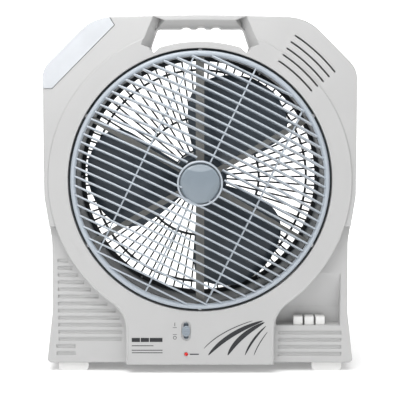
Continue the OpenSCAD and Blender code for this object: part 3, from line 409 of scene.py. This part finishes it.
def sheet_of(grid: Points, wrap_u: bool = False, wrap_v: bool = False, caps: bool = False) -> Shape:
    """Joins a grid of points by quads.

    Args:
        grid: points of shape (n, m, 3), with u along the first index.
        wrap_u: joins the last row to the first.
        wrap_v: joins the last column to the first.
        caps: closes the first and last row with one face each.

    Returns:
        The shape.
    """
    n, m = grid.shape[:2]
    i, j = np.meshgrid(np.arange(n if wrap_u else n - 1), np.arange(m if wrap_v else m - 1), indexing="ij")
    i2, j2 = (i + 1) % n, (j + 1) % m
    quads = np.stack([i * m + j, i2 * m + j, i2 * m + j2, i * m + j2], -1).reshape(-1, 4).tolist()
    if caps:
        quads.append(list(range(m)))
        quads.append(list(range((n - 1) * m, n * m))[::-1])
    return Shape(grid.reshape(-1, 3), quads)


def rounded_section(width: float, height: float, radius: float, steps: int = 3) -> Points:
    """A rectangle with rounded corners as a closed loop of (across, up) points.

    Each corner is a quarter circle of the given radius about a centre that sits that far inside it.
    """
    turn = np.linspace(0.0, math.pi / 2, steps)
    quarter = [turn + k * math.pi / 2 for k in range(4)]
    signs = [(1, 1), (-1, 1), (-1, -1), (1, -1)]
    inner = np.array([width / 2 - radius, height / 2 - radius])
    arcs = [radius * np.stack([np.cos(q), np.sin(q)], -1) for q in quarter]
    return np.vstack([np.array(sign) * inner + arc for sign, arc in zip(signs, arcs)])


def rounded_path(
    corners: Sequence[tuple[float, float, float]],
    steps: int = 4,
    closed: bool = True,
) -> Points:
    """A line through corners given as (a, b, radius), each rounded by a quadratic curve.

    The curve starts and ends at the corner's tangent length, which is radius over the tangent of half
    the angle between its two sides, and takes the corner as its middle control point.

    Args:
        corners: the corners.
        steps: pieces that each curve is cut into.
        closed: whether the last corner joins the first.

    Returns:
        The line's points.
    """
    pts = np.array([c[:2] for c in corners], float)
    out: list[Points] = []
    last = len(pts) - 1
    for k, (_, _, radius) in enumerate(corners):
        p = pts[k]
        if radius <= 0 or (not closed and k in (0, last)):
            out.append(p[None])
            continue
        a, b = pts[k - 1] - p, pts[(k + 1) % len(pts)] - p
        la, lb = np.linalg.norm(a), np.linalg.norm(b)
        a, b = a / la, b / lb
        half = math.acos(float(np.clip(a @ b, -1, 1))) / 2
        cut = min(radius / math.tan(half), la * 0.49, lb * 0.49)
        t = np.linspace(0, 1, steps + 1)[:, None]
        start, end = p + a * cut, p + b * cut
        out.append((1 - t) ** 2 * start + 2 * t * (1 - t) * p + t * t * end)
    return np.vstack(out)


def on_axis(radius: Points, angle: Points, depth: Points, axis_z: float) -> Points:
    """Points round the fan's axis: x is radius cos angle, y is depth, z is axis height + radius sin angle."""
    parts = np.broadcast_arrays(radius * np.cos(angle), depth, axis_z + radius * np.sin(angle))
    return np.stack(parts, -1)


def full_turn(around: int) -> Points:
    """Evenly spaced angles of one turn as a column."""
    return np.linspace(0, 2 * math.pi, around, endpoint=False)[:, None]


def turned(profile: Points, axis_z: float, around: int = 192) -> Shape:
    """A closed profile of (radius, depth) points turned about the fan's axis."""
    grid = on_axis(profile[:, 0][None], full_turn(around), profile[:, 1][None], axis_z)
    return sheet_of(grid, wrap_u=True, wrap_v=True)


def with_poles(grid: Points) -> Shape:
    """A grid wound round an axis, with each of its two end rings closed by one face."""
    around, m = grid.shape[:2]
    shape = sheet_of(grid, wrap_u=True)
    shape.faces.append([k * m for k in range(around)])
    shape.faces.append([k * m + m - 1 for k in range(around)][::-1])
    return shape


def turned_open(profile: Points, axis_z: float, around: int) -> Shape:
    """An open profile from the axis out and back to it, turned about the axis and closed at both ends."""
    return with_poles(on_axis(profile[:, 0][None], full_turn(around), profile[:, 1][None], axis_z))


class Workshop:
    """Makes objects from shapes and gives them their finish and their body."""

    def __init__(self) -> None:
        """Builds every finish once."""
        self.materials = {f.slot: f.material() for f in (*FINISHES, INK)}
        self.bodies = {n: b for b, ns in frame["record"]["behaviour"]["bodies"].items() for n in ns}
        self.slots = {s["node"]: s["material_slot"] for s in frame["record"]["subparts"]}

    def piece(
        self,
        name: str,
        shape: Shape,
        body: str,
        slot: str,
        stands_for: Sequence[str] = (),
        ink: bool = False,
        smooth_deg: float = 40.0,
    ) -> bpy.types.Object:
        """Makes a new piece from a shape.

        Args:
            name: the piece's name.
            shape: its surface in millimetres.
            body: the CAD body it moves with.
            slot: the record's material slot.
            stands_for: CAD nodes that it replaces.
            ink: whether it is printed, whatever its slot.
            smooth_deg: edges sharper than this stay sharp.

        Returns:
            The new object.
        """
        mesh = bpy.data.meshes.new(name)
        mesh.from_pydata((shape.points * MM).tolist(), [], shape.faces)
        bm = bmesh.new()
        bm.from_mesh(mesh)
        bmesh.ops.remove_doubles(bm, verts=bm.verts, dist=1e-6)
        bmesh.ops.recalc_face_normals(bm, faces=bm.faces)
        bm.to_mesh(mesh)
        bm.free()
        return self.place(name, mesh, body, slot, stands_for, ink, smooth_deg)

    def place(
        self,
        name: str,
        mesh: bpy.types.Mesh,
        body: str,
        slot: str,
        stands_for: Sequence[str] = (),
        ink: bool = False,
        smooth_deg: float = 40.0,
    ) -> bpy.types.Object:
        """Links a finished mesh as a piece, shades it and rides it on its body."""
        mesh.shade_smooth()
        mesh.set_sharp_from_angle(angle=math.radians(smooth_deg))
        mesh.materials.clear()
        mesh.materials.append(self.materials["panel_ink" if ink else slot])
        made = bpy.data.objects.new(name, mesh)
        bpy.context.scene.collection.objects.link(made)
        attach(made, body)
        if stands_for:
            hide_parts(*stands_for)
        LOG.info("made %s, %d faces, on %s", name, len(mesh.polygons), body)
        return made

    def softened(
        self,
        node: str,
        width_mm: float,
        segments: int = 2,
        angle_deg: float = 35.0,
    ) -> bpy.types.Object:
        """A copy of a CAD node whose crisp edges are rounded, which then stands for it.

        Args:
            node: the CAD node.
            width_mm: width of the rounding.
            segments: faces across the rounding.
            angle_deg: only edges that turn more than this are rounded.

        Returns:
            The new object.
        """
        mesh = frame["nodes"][node].data.copy()
        bm = bmesh.new()
        bm.from_mesh(mesh)
        bmesh.ops.remove_doubles(bm, verts=bm.verts, dist=MERGE_M)
        bmesh.ops.dissolve_degenerate(bm, edges=bm.edges, dist=MERGE_M)
        bmesh.ops.dissolve_limit(bm, angle_limit=math.radians(0.6), verts=bm.verts, edges=bm.edges)
        bm.to_mesh(mesh)
        bm.free()
        for name in ("custom_normal", "sharp_face", "sharp_edge"):
            if name in mesh.attributes:
                mesh.attributes.remove(mesh.attributes[name])
        made = self.place(node + "_finished", mesh, self.bodies[node], self.slots[node], (node,))
        bevel = made.modifiers.new("rounding", "BEVEL")
        bevel.width = width_mm * MM
        bevel.segments = segments
        bevel.limit_method = "ANGLE"
        bevel.angle_limit = math.radians(angle_deg)
        bevel.harden_normals = True
        bevel.use_clamp_overlap = True
        return made

    def dress(self, node: str) -> None:
        """Gives a carried-over CAD node its finish."""
        thing = frame["nodes"][node]
        material = self.materials[self.slots[node]]
        if thing.material_slots:
            for s in thing.material_slots:
                s.link = "OBJECT"
                s.material = material
        else:
            thing.data.materials.append(material)
        LOG.info("dressed %s in %s", node, self.slots[node])


# ---------------------------------------------------------------- sub-assemblies


@dataclass
class Datum:
    """Places that every sub-assembly is set out from, in millimetres, read from the CAD frame."""

    axis_z: float = field(init=False)
    face_y: float = field(init=False)
    apex_y: float = field(init=False)
    cap_y: float = field(init=False)
    grille_r: float = field(init=False)
    body_z: float = field(init=False)

    def __post_init__(self) -> None:
        """Reads the spin axis and the boxes of the main nodes."""
        spin = next(j for j in frame["joints"] if j["name"] == "grille_spin")
        self.axis_z = spin["pos_m"][2] / MM
        self.face_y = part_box("front_shell")[0].y / MM
        self.body_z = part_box("front_shell")[0].z / MM
        low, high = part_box("louvre_grille")
        self.grille_r = (high.x - low.x) / 2 / MM
        self.cap_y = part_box("hub_cap")[0].y / MM
        self.apex_y = self.cap_y + 3.0


@dataclass
class TurningGrille:
    """The domed louvre grille, its ring, its hub ring and its cap, all in millimetres and degrees."""

    shop: Workshop
    datum: Datum
    ring_w: float = 7.0
    ring_t: float = 7.0
    dome_h: float = 30.0
    pitch: float = 11.0
    louvre_t: float = 2.3
    louvre_depth: float = 10.0
    slope_deg: float = 26.25
    tilt_deg: float = 14.0
    hub_r: float = 29.5
    tie_w: float = 2.0
    tie_offset: float = 79.0
    cap_clear: float = 3.7
    scoop_out: float = 55.5
    scoop_r: float = 40.0
    scoop_depth: float = 6.4
    crease: float = 0.012
    stations: int = 56

    def __post_init__(self) -> None:
        """Works out the dome's sphere from its height and chord."""
        self.bore_r = self.datum.grille_r - self.ring_w
        chord = self.bore_r + 2.0
        self.dome_r = (chord * chord + self.dome_h * self.dome_h) / (2 * self.dome_h)
        self.ring_y = self.datum.apex_y + self.dome_h

    def build(self) -> None:
        """Makes the grille's pieces."""
        self.shop.piece("grille_ring", self.ring(), "grille", "grille_plastic", ("louvre_grille",))
        bars = self.louvres() + self.ties()
        self.shop.piece("grille_louvres", bars, "grille", "grille_plastic", smooth_deg=50)
        self.shop.piece("grille_hub_ring", self.hub_ring(), "grille", "grille_plastic")
        self.shop.piece("hub_cap_dome", self.cap(), "grille", "cap_plastic", ("hub_cap",), smooth_deg=50)

    def ring(self) -> Shape:
        """The outer ring: its section, with rounded corners, turned about the axis."""
        r0, r1, y, back = self.bore_r, self.datum.grille_r, self.ring_y, self.ring_y + self.ring_t
        section = rounded_path(
            [
                (r0, y + 2.5, 1.2), (r0 + 2.5, y, 1.6), (r1 - 2.0, y, 2.0),
                (r1, y + 2.2, 1.6), (r1, back, 0.8), (r0, back, 0.8),
            ]
        )
        return turned(section, self.datum.axis_z, 240)

    def hub_ring(self) -> Shape:
        """The seat of the cap and the sleeve behind it: one closed section turned about the axis."""
        a, h = self.datum.apex_y, self.hub_r
        section = rounded_path(
            [
                (7.0, a + 6.5, 0.3), (h - 2.4, a + 6.5, 0.4), (h - 2.4, a + 0.6, 0.6),
                (h - 1.4, a - 0.4, 0.7), (h, a + 0.6, 0.9), (h, a + 11.0, 0.8),
                (10.0, a + 11.0, 0.5), (10.0, a + 23.5, 0.6), (7.0, a + 23.5, 0.4),
            ]
        )
        return turned(section, self.datum.axis_z, 144)

    def _depth(self, u: Points, rise: float, shift: float) -> Points:
        """Distance along a tilted louvre from its pivot to the dome's sphere moved back by shift.

        The louvre's middle is at depth ring_y + q cos tilt and height rise - q sin tilt. Put in the
        sphere's equation, q is the smaller root of q squared - 2 B q + C = 0.
        """
        t = math.radians(self.tilt_deg)
        gap = self.ring_y - (self.datum.apex_y + self.dome_r + shift)
        b = rise * math.sin(t) - gap * math.cos(t)
        c = rise * rise + gap * gap + u * u - self.dome_r**2
        return b - np.sqrt(np.maximum(b * b - c, 0.0))

    def _strip(self, u0: float, u1: float, rise: float) -> Shape:
        """One louvre from u0 to u1: a rounded section whose front and back edges follow the dome."""
        t = math.radians(self.tilt_deg)
        u = np.linspace(u0, u1, max(6, int(self.stations * (u1 - u0) / (2 * self.bore_r)) + 2))
        front = self._depth(u, rise, 0.0)
        back = np.minimum(self._depth(u, rise, self.louvre_depth), (self.ring_t - 0.6) / math.cos(t))
        radius = self.louvre_t * 0.42
        ring = rounded_section(2.0 * radius, self.louvre_t, radius, 4)
        half = (back - front) / 2 - radius
        q = ((front + back) / 2)[:, None] + ring[None, :, 0] + np.sign(ring[None, :, 0]) * half[:, None]
        n = np.broadcast_to(ring[None, :, 1], q.shape)
        y = self.ring_y + q * math.cos(t) + n * math.sin(t)
        z = rise - q * math.sin(t) + n * math.cos(t)
        return sheet_of(self._slope(np.broadcast_to(u[:, None], q.shape), y, z), wrap_v=True, caps=True)

    def _slope(self, x: Points, y: Points, z: Points) -> Points:
        """Turns points about the fan's axis by the slope of the louvres and lifts them to the axis."""
        c, s = math.cos(math.radians(self.slope_deg)), math.sin(math.radians(self.slope_deg))
        return np.stack([x * c + z * s, y, z * c - x * s + self.datum.axis_z], -1)

    def louvres(self) -> Shape:
        """All the louvres, each ending in the ring, and the middle ones also at the hub ring."""
        count = math.ceil(self.bore_r / self.pitch)
        parts: list[Shape] = []
        for k in range(-count, count + 1):
            rise = k * self.pitch
            if abs(rise) > self.bore_r - 3:
                continue
            end = math.sqrt((self.bore_r + 1.2) ** 2 - rise * rise)
            if abs(rise) < self.hub_r - 1:
                start = math.sqrt((self.hub_r - 0.9) ** 2 - rise * rise)
                parts += [self._strip(-end, -start, rise), self._strip(start, end, rise)]
            else:
                parts.append(self._strip(-end, end, rise))
        return joined(parts)

    def ties(self) -> Shape:
        """The bars that cross the louvres: rounded sections that follow the dome 2.5 mm behind it."""
        parts: list[Shape] = []
        centre = self.datum.apex_y + self.dome_r
        for x in (-self.tie_offset, 0.0, self.tie_offset):
            end = math.sqrt((self.bore_r + 1.0) ** 2 - x * x)
            start = self.hub_r - 0.8
            spans = [(-end, end)] if abs(x) > self.hub_r else [(-end, -start), (start, end)]
            for z0, z1 in spans:
                z = np.linspace(z0, z1, self.stations)
                sphere = np.sqrt(self.dome_r**2 - x * x - z * z)
                front = centre + 2.5 - sphere
                back = np.minimum(centre + self.louvre_depth - sphere, self.ring_y + self.ring_t - 0.6)
                ring = rounded_section(self.tie_w, 1.4, 0.65, 3)
                half = (back - front) / 2 - 0.7
                side = ring[None, :, 1]
                y = ((front + back) / 2)[:, None] + side + np.sign(side) * half[:, None]
                across, _, along = np.broadcast_arrays(x + ring[None, :, 0], y, z[:, None])
                parts.append(sheet_of(self._slope(across, y, along), wrap_v=True, caps=True))
        return joined(parts)

    def cap(self) -> Shape:
        """The cap: a shallow dome with three scooped facets.

        Depth at radius r and angle a is the dome's profile plus, inside a scoop, scoop_depth times 1 - d
        squared over scoop_r squared, where d is the distance to the scoop's centre, scoop_out from the
        axis. The term is eased from nothing over a share called crease.
        """
        y0, edge = self.datum.cap_y, self.hub_r - self.cap_clear
        reach = [0, 6, 12, 18, 23, edge - 0.8, edge - 0.3, edge - 0.08, edge]
        fall = [0, 0.12, 0.5, 1.2, 2.0, 2.8, 3.2, 3.6, 4.2]
        r = np.concatenate([np.linspace(0.02, edge - 1.2, 60), [edge - 0.7, edge - 0.3, edge - 0.08, edge]])
        a = np.linspace(0, 2 * math.pi, 216, endpoint=False)
        depth = np.tile(np.interp(r, reach, fall)[:, None], (1, len(a)))
        x, z = r[:, None] * np.cos(a), r[:, None] * np.sin(a)
        for deg in (90, 210, 330):
            cx = self.scoop_out * math.cos(math.radians(deg))
            cz = self.scoop_out * math.sin(math.radians(deg))
            inside = 1 - ((x - cx) ** 2 + (z - cz) ** 2) / self.scoop_r**2
            depth += self.scoop_depth * self.crease * np.logaddexp(0.0, inside / self.crease)
        depth += 0.02
        front = np.stack([x, y0 + depth, self.datum.axis_z + z], -1)
        rim = on_axis(np.array([edge]), a, np.array([self.datum.apex_y + 6.2]), self.datum.axis_z)
        return sheet_of(np.concatenate([front, rim[None]]), wrap_v=True, caps=True)


@dataclass
class Rotor:
    """The three-bladed rotor and its nut, in millimetres and degrees."""

    shop: Workshop
    datum: Datum
    tip_r: float = 152.3
    root_r: float = 34.0
    hub_r: float = 36.0
    depth: float = 30.0
    blade_t: float = 2.4
    first_deg: float = 62.0
    blades: int = 3
    nut_r: float = 11.0
    flutes: int = 6
    flute_share: float = 0.13

    def __post_init__(self) -> None:
        """Reads the rotor's depth from its node."""
        low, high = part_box("fan_rotor")
        self.front_y = low.y / MM + 1.0
        self.mid_y = self.front_y + self.depth / 2

    def build(self) -> None:
        """Makes the blades, the hub cup and the nut."""
        turns = [self.first_deg + k * 360 / self.blades for k in range(self.blades)]
        blades = joined([self.blade(turn) for turn in turns])
        self.shop.piece("rotor_blades", blades, "rotor", "rotor_plastic", ("fan_rotor",), smooth_deg=60)
        self.shop.piece("rotor_hub", self.hub(), "rotor", "rotor_plastic")
        nut = self.nut()
        self.shop.piece("rotor_nut_fluted", nut, "rotor", "rotor_plastic", ("rotor_nut",), smooth_deg=50)

    def blade(self, turn_deg: float) -> Shape:
        """One blade as a closed skin.

        At a share s of the span the blade reaches from angle -38 + 2s + 24 s^10 to 42 - 14 s^2 - 28 s^7.
        A loop runs along its front and back; thickness is full until the edges, where it rounds off.
        """
        s = np.linspace(0, 1, 40)[:, None]
        phi = np.linspace(0, 2 * math.pi, 72, endpoint=False)[None, :]
        t = 0.5 - 0.5 * np.cos(phi)
        side = np.sign(np.sin(phi)) * np.abs(np.sin(phi)) ** 0.35
        r = self.root_r + (self.tip_r - self.root_r) * s
        low, high = -38 + 2 * s + 24 * s**10, 42 - 14 * s**2 - 28 * s**7
        a = np.radians(low + (high - low) * t + turn_deg)
        w = self.depth / 2 - self.blade_t
        ease = s * s * (3 - 2 * s)
        y = -w + 2 * w * (0.12 * ease + (1 - 0.24 * ease) * (t + 0.10 * np.sin(math.pi * t) * (1 - 2 * t)))
        thick = self.blade_t * (1 - 0.35 * s) * np.minimum(1.0, (1.0001 - s) * 30) ** 0.5
        y = self.mid_y + y - side * thick / 2
        return sheet_of(on_axis(r, a, y, self.datum.axis_z), wrap_v=True, caps=True)

    def hub(self) -> Shape:
        """The hub cup: a rounded section, open behind, turned about the axis."""
        f, h, back = self.front_y, self.hub_r, self.front_y + self.depth
        section = rounded_path(
            [
                (3.2, f - 1, 0.3), (h - 5, f - 1, 3.0), (h, f + 4, 3.0), (h, back, 0.8), (h - 2.5, back, 0.6),
                (h - 2.5, f + 2, 1.5), (8, f + 2, 1.0), (8, f + 8, 0.6), (3.2, f + 8, 0.3),
            ],
            5,
        )
        return turned(section, self.datum.axis_z, 144)

    def nut(self) -> Shape:
        """The nut: a rounded profile whose radius dips at each flute round its grip."""
        f = self.front_y
        r, front = self.nut_r, f - 7.5
        corners = [
            (0.05, front, 0), (r - 4, front, 1.5), (r - 1, f - 6, 1.5), (r, f - 1, 0.4), (0.05, f - 1, 0),
        ]
        profile = rounded_path(corners, closed=False)
        a = full_turn(144)
        dip = 1 - self.flute_share * np.clip(np.cos(self.flutes * a), 0, 1) ** 2
        r = profile[:, 0][None] * np.where(profile[:, 0][None] > 4, dip, 1.0)
        return with_poles(on_axis(r, a, profile[:, 1][None], self.datum.axis_z))


@dataclass
class Controls:
    """Keys, slide switch, charge light and the printed marks of the panel, in millimetres."""

    shop: Workshop
    datum: Datum
    film: float = 0.10

    def build(self) -> None:
        """Makes the keys, the knob and the prints."""
        for k in (1, 2, 3):
            self.shop.softened(f"push_key_{k}", 0.9, 3)
        self.shop.softened("slide_knob", 0.35, 2)
        self.shop.piece("charge_light_lens", self.light(), "housing", "light_lens", ("charge_light",))
        self.shop.piece("panel_stripes", self.stripes(), "housing", "shell_plastic", ink=True)
        self.shop.piece("panel_marks", self.marks(), "housing", "shell_plastic", ink=True)

    def light(self) -> Shape:
        """The lens of the charge light: a rounded pin turned about its own axis."""
        low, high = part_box("charge_light")
        cx, cz = (low.x + high.x) / 2 / MM, (low.z + high.z) / 2 / MM
        y = self.datum.face_y
        corners = [
            (0.02, y - 1.9, 0), (1.6, y - 1.5, 0.9), (2.4, y - 0.5, 0.5), (2.4, y + 3, 0), (0.02, y + 3, 0),
        ]
        profile = rounded_path(corners, 5, closed=False)
        shape = turned_open(profile, 0.0, 48)
        shape.points[:, 0] += cx
        shape.points[:, 2] += cz
        return shape

    def _flat(self, left: Points, right: Points, ring: bool = False) -> Shape:
        """A thin raised print between two lines of (x, z) points, or between two rings of them."""
        sunk, proud = self.datum.face_y + 0.05, self.datum.face_y - self.film
        loops = []
        for line, depth in ((left, sunk), (left, proud), (right, proud), (right, sunk)):
            loops.append(np.stack([line[:, 0], np.full(len(line), depth), line[:, 1]], -1))
        return sheet_of(np.stack(loops, 1), wrap_u=ring, wrap_v=True, caps=not ring)

    def crescent(
        self,
        start: Sequence[float],
        bend: Sequence[float],
        end: Sequence[float],
        width: float,
        lean: float = 0.5,
    ) -> Shape:
        """A stripe along a curve from start to end that is widest in its middle.

        The middle line is a quadratic curve; the half width is width times 4 t (1 - t) to the power of
        lean, laid off square to the line.

        Args:
            start: where it starts, as (x, z).
            bend: the curve's middle control point.
            end: where it ends.
            width: half width at its middle.
            lean: how blunt its ends are; smaller is blunter.

        Returns:
            The stripe.
        """
        p0, p1, p2 = (np.array(p, float) for p in (start, bend, end))
        t = np.linspace(0.0, 1.0, 41)[:, None]
        line = (1 - t) ** 2 * p0 + 2 * t * (1 - t) * p1 + t * t * p2
        along = 2 * (1 - t) * (p1 - p0) + 2 * t * (p2 - p1)
        along /= np.linalg.norm(along, axis=1, keepdims=True)
        square = np.stack([-along[:, 1], along[:, 0]], -1)
        half = width * np.maximum(4 * t * (1 - t), 0.004) ** lean
        return self._flat(line + square * half, line - square * half)

    def bar(self, x0: float, x1: float, z: float, height: float) -> Shape:
        """A straight printed bar."""
        line = np.array([[x0, z], [x1, z]], float)
        up = np.array([0.0, height / 2])
        return self._flat(line + up, line - up)

    def stripes(self) -> Shape:
        """The decoration of the panel: tapered stripes and two thin lines that sweep up to the right."""
        z = self.datum.body_z
        rows = [
            ((11, z + 13), (36, z + 44), (84, z + 60), 3.0, 0.55),
            ((37, z + 13), (50, z + 40), (86, z + 58), 3.2, 0.55),
            ((60, z + 13), (68, z + 34), (88, z + 53), 1.5, 0.55),
            ((5, z + 22), (26, z + 46), (70, z + 60), 0.6, 0.3),
            ((72, z + 13), (77, z + 28), (90, z + 45), 0.6, 0.3),
        ]
        return joined([self.crescent(*r) for r in rows])

    def marks(self) -> Shape:
        """The plain marks: an on and an off sign, a bar at the light, and a block of plain rules."""
        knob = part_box("slide_knob")
        kx, kz = (knob[0].x + knob[1].x) / 2 / MM, (knob[0].z + knob[1].z) / 2 / MM
        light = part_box("charge_light")
        lz = (light[0].z + light[1].z) / 2 / MM
        x = kx - 15
        parts = [self.bar(x - 0.4, x + 0.4, kz + 9, 5.0)]
        parts += [self.bar(x - 2.6, x + 2.6, kz + side * 4.6, 0.6) for side in (1, -1)]
        a = full_turn(40)
        circle, middle = np.hstack([np.cos(a), np.sin(a)]), np.array([x, kz - 9])
        parts.append(self._flat(circle * 2.4 + middle, circle * 1.7 + middle, ring=True))
        parts.append(self.bar(kx + 5, kx + 17, lz, 1.5))
        base = self.datum.body_z
        parts += [self.bar(x0, x1, base + 34, 5.5) for x0, x1 in ((-91, -80), (-79, -68), (-67, -50))]
        parts += [self.bar(-91, x1, base + rise, 1.0) for x1, rise in ((-62, 26), (-50, 20), (-50, 16.5))]
        return joined(parts)


@dataclass
class FaceRidge:
    """The rounded ridge along the lower outline of the raised face, in millimetres and degrees."""

    shop: Workshop
    datum: Datum
    disc_r: float = 199.7
    panel_half_w: float = 98.0
    neck_r: float = 45.0
    neck_deg: float = 54.24
    end_deg: float = -8.0
    ridge_r: float = 2.4
    inset: float = 1.5

    def build(self) -> None:
        """Makes the ridge."""
        self.shop.piece("face_ridge", self.ridge(), "housing", "shell_plastic", smooth_deg=60)

    def outline(self) -> tuple[Points, Points]:
        """The face's lower right outline as (x, z) points, with outward normals.

        It runs straight up the panel, along an arc that curves away from the face, and round the disc
        about the fan's axis to where the shoulders begin.
        """
        deg, axis_z, rows = self.neck_deg, self.datum.axis_z, 12
        drop = (self.disc_r + self.neck_r) * math.sin(math.radians(deg))
        neck = np.array([self.panel_half_w + self.neck_r, axis_z - drop])
        heights = np.linspace(self.datum.body_z + 0.3, neck[1] - 2.0, rows)
        up = np.stack([np.full(rows, self.panel_half_w), heights], -1)
        a = np.radians(np.linspace(180, 180 - deg, 24))
        b = np.radians(np.linspace(0.6 - deg, self.end_deg, 60))
        to_neck, to_disc = np.stack([np.cos(a), np.sin(a)], -1), np.stack([np.cos(b), np.sin(b)], -1)
        line = np.vstack([up, neck + self.neck_r * to_neck, np.array([0.0, axis_z]) + self.disc_r * to_disc])
        return line, np.vstack([np.tile([1.0, 0.0], (rows, 1)), -to_neck, to_disc])

    def ridge(self) -> Shape:
        """A round section swept along the outline on both sides, which thins out at its upper end."""
        line, out = self.outline()
        t = full_turn(20)[None]
        left_over = np.linspace(2.0, 0.0, len(line))[:, None, None]
        radius = self.ridge_r * np.clip(left_over, 0.35, 1.0)
        plan = line[:, None, :] + out[:, None, :] * (radius * np.cos(t) - self.inset)
        y = np.broadcast_to(self.datum.face_y + self.inset + 0.4 + radius * np.sin(t), plan[..., :1].shape)
        grid = np.concatenate([plan[..., :1], y, plan[..., 1:]], -1)
        return joined([sheet_of(grid * [side, 1, 1], wrap_v=True, caps=True) for side in (1, -1)])


@dataclass
class Fittings:
    """Pieces whose CAD shape is right and only needs its edges eased, and the nodes left as they are."""

    shop: Workshop
    eased: dict[str, float] = field(
        default_factory=lambda: {
            "lamp_diffuser": 2.6,
            "motor_cover": 2.0,
            "foot_front_left": 1.6,
            "foot_front_right": 1.6,
            "foot_rear_left": 1.6,
            "foot_rear_right": 1.6,
            "front_spider": 0.7,
            "mains_inlet": 0.5,
        }
    )

    def build(self) -> None:
        """Eases some nodes and dresses all the others."""
        for node, width in self.eased.items():
            self.shop.softened(node, width, 3)
        for node, thing in frame["nodes"].items():
            if not thing.hide_render:
                self.shop.dress(node)


# ---------------------------------------------------------------- studio


@dataclass
class Studio:
    """Floor, lights and camera."""

    eye: tuple[float, float, float] = (0.0, -1.4812, 0.39015)
    target: tuple[float, float, float] = (0.0, 0.010, 0.22815)
    lens_mm: float = 99.26

    def build(self) -> None:
        """Makes the whole studio."""
        self.camera()
        self.floor()
        self.lights()

    def camera(self) -> None:
        """Sets the camera square in front of the fan and a little above it."""
        data = bpy.data.cameras.new("camera")
        data.sensor_width = 36.0
        data.lens = self.lens_mm
        data.clip_end = 50.0
        made = bpy.data.objects.new("camera", data)
        made.location = self.eye
        aim = Vector(self.target) - Vector(self.eye)
        made.rotation_euler = aim.to_track_quat("-Z", "Y").to_euler()
        bpy.context.scene.collection.objects.link(made)
        bpy.context.scene.camera = made

    def floor(self) -> None:
        """A pale sweep that runs flat under the fan and curves up far behind it."""
        a = np.linspace(0, math.pi / 2, 24)
        y = np.concatenate([[-4.0, 0.0, 2.0], 2.0 + 1.5 * np.sin(a[1:]), [3.5]])
        z = np.concatenate([[0.0, 0.0, 0.0], 1.5 - 1.5 * np.cos(a[1:]), [5.0]])
        x = np.array([-5.0, 5.0])
        grid = np.stack(np.broadcast_arrays(x[None, :], y[:, None], z[:, None]), -1)
        mesh = bpy.data.meshes.new("studio_sweep")
        shape = sheet_of(grid)
        mesh.from_pydata(shape.points.tolist(), [], shape.faces)
        mesh.shade_smooth()
        r = Recipe("studio_paper")
        where = r.place()
        back = r.node("ShaderNodeSeparateXYZ", {}, {0: where}, 1).step(0.10, 1.2)
        inputs = {
            "Base Color": r.blend(r.noise(where, 4.0, 3.0), (0.90, 0.90, 0.90, 1.0), (0.93, 0.93, 0.93, 1.0)),
            "Roughness": 0.9,
            "Specular IOR Level": 0.0,
            "Emission Color": r.blend(back, (0.14, 0.14, 0.14, 1.0), (0.75, 0.75, 0.75, 1.0)),
            "Emission Strength": 1.0,
        }
        r.finish(inputs)
        mesh.materials.append(r.material)
        made = bpy.data.objects.new("studio_sweep", mesh)
        bpy.context.scene.collection.objects.link(made)

    def lights(self) -> None:
        """A broad top light, a nearer one over the crown, a fill on each side and an even surround."""
        self.area("top_light", (0.0, -0.45, 2.2), (0.0, 0.0, 0.25), 2.2, 30.0)
        self.area("crown_light", (-0.25, -0.55, 1.15), (0.0, 0.0, 0.46), 0.8, 7.0)
        self.area("left_light", (-1.9, -2.0, 1.5), (0.0, 0.0, 0.25), 1.3, 7.0)
        self.area("right_light", (2.1, -1.8, 1.2), (0.0, 0.0, 0.25), 1.3, 5.0)
        world = bpy.data.worlds.new("surround")
        world.use_nodes = True
        world.node_tree.nodes["Background"].inputs["Color"].default_value = (1.0, 1.0, 1.0, 1.0)
        world.node_tree.nodes["Background"].inputs["Strength"].default_value = 0.40
        bpy.context.scene.world = world
        bpy.context.scene.view_settings.view_transform = "Standard"

    def area(self, name: str, at: Sequence[float], to: Sequence[float], size: float, watts: float) -> None:
        """Adds one square soft light.

        Args:
            name: its name.
            at: where it hangs.
            to: what it points at.
            size: its side in metres.
            watts: its power.
        """
        data = bpy.data.lights.new(name, "AREA")
        data.size = size
        data.energy = watts
        made = bpy.data.objects.new(name, data)
        made.location = at
        made.rotation_euler = (Vector(to) - Vector(at)).to_track_quat("-Z", "Y").to_euler()
        bpy.context.scene.collection.objects.link(made)


def main() -> None:
    """Builds the fan in order."""
    logging.basicConfig(level=logging.INFO, format="%(name)s: %(message)s")
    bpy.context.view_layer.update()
    shop, datum = Workshop(), Datum()
    Studio().build()
    TurningGrille(shop, datum).build()
    Rotor(shop, datum).build()
    Controls(shop, datum).build()
    FaceRidge(shop, datum).build()
    Fittings(shop).build()


if __name__ == "__main__":
    main()
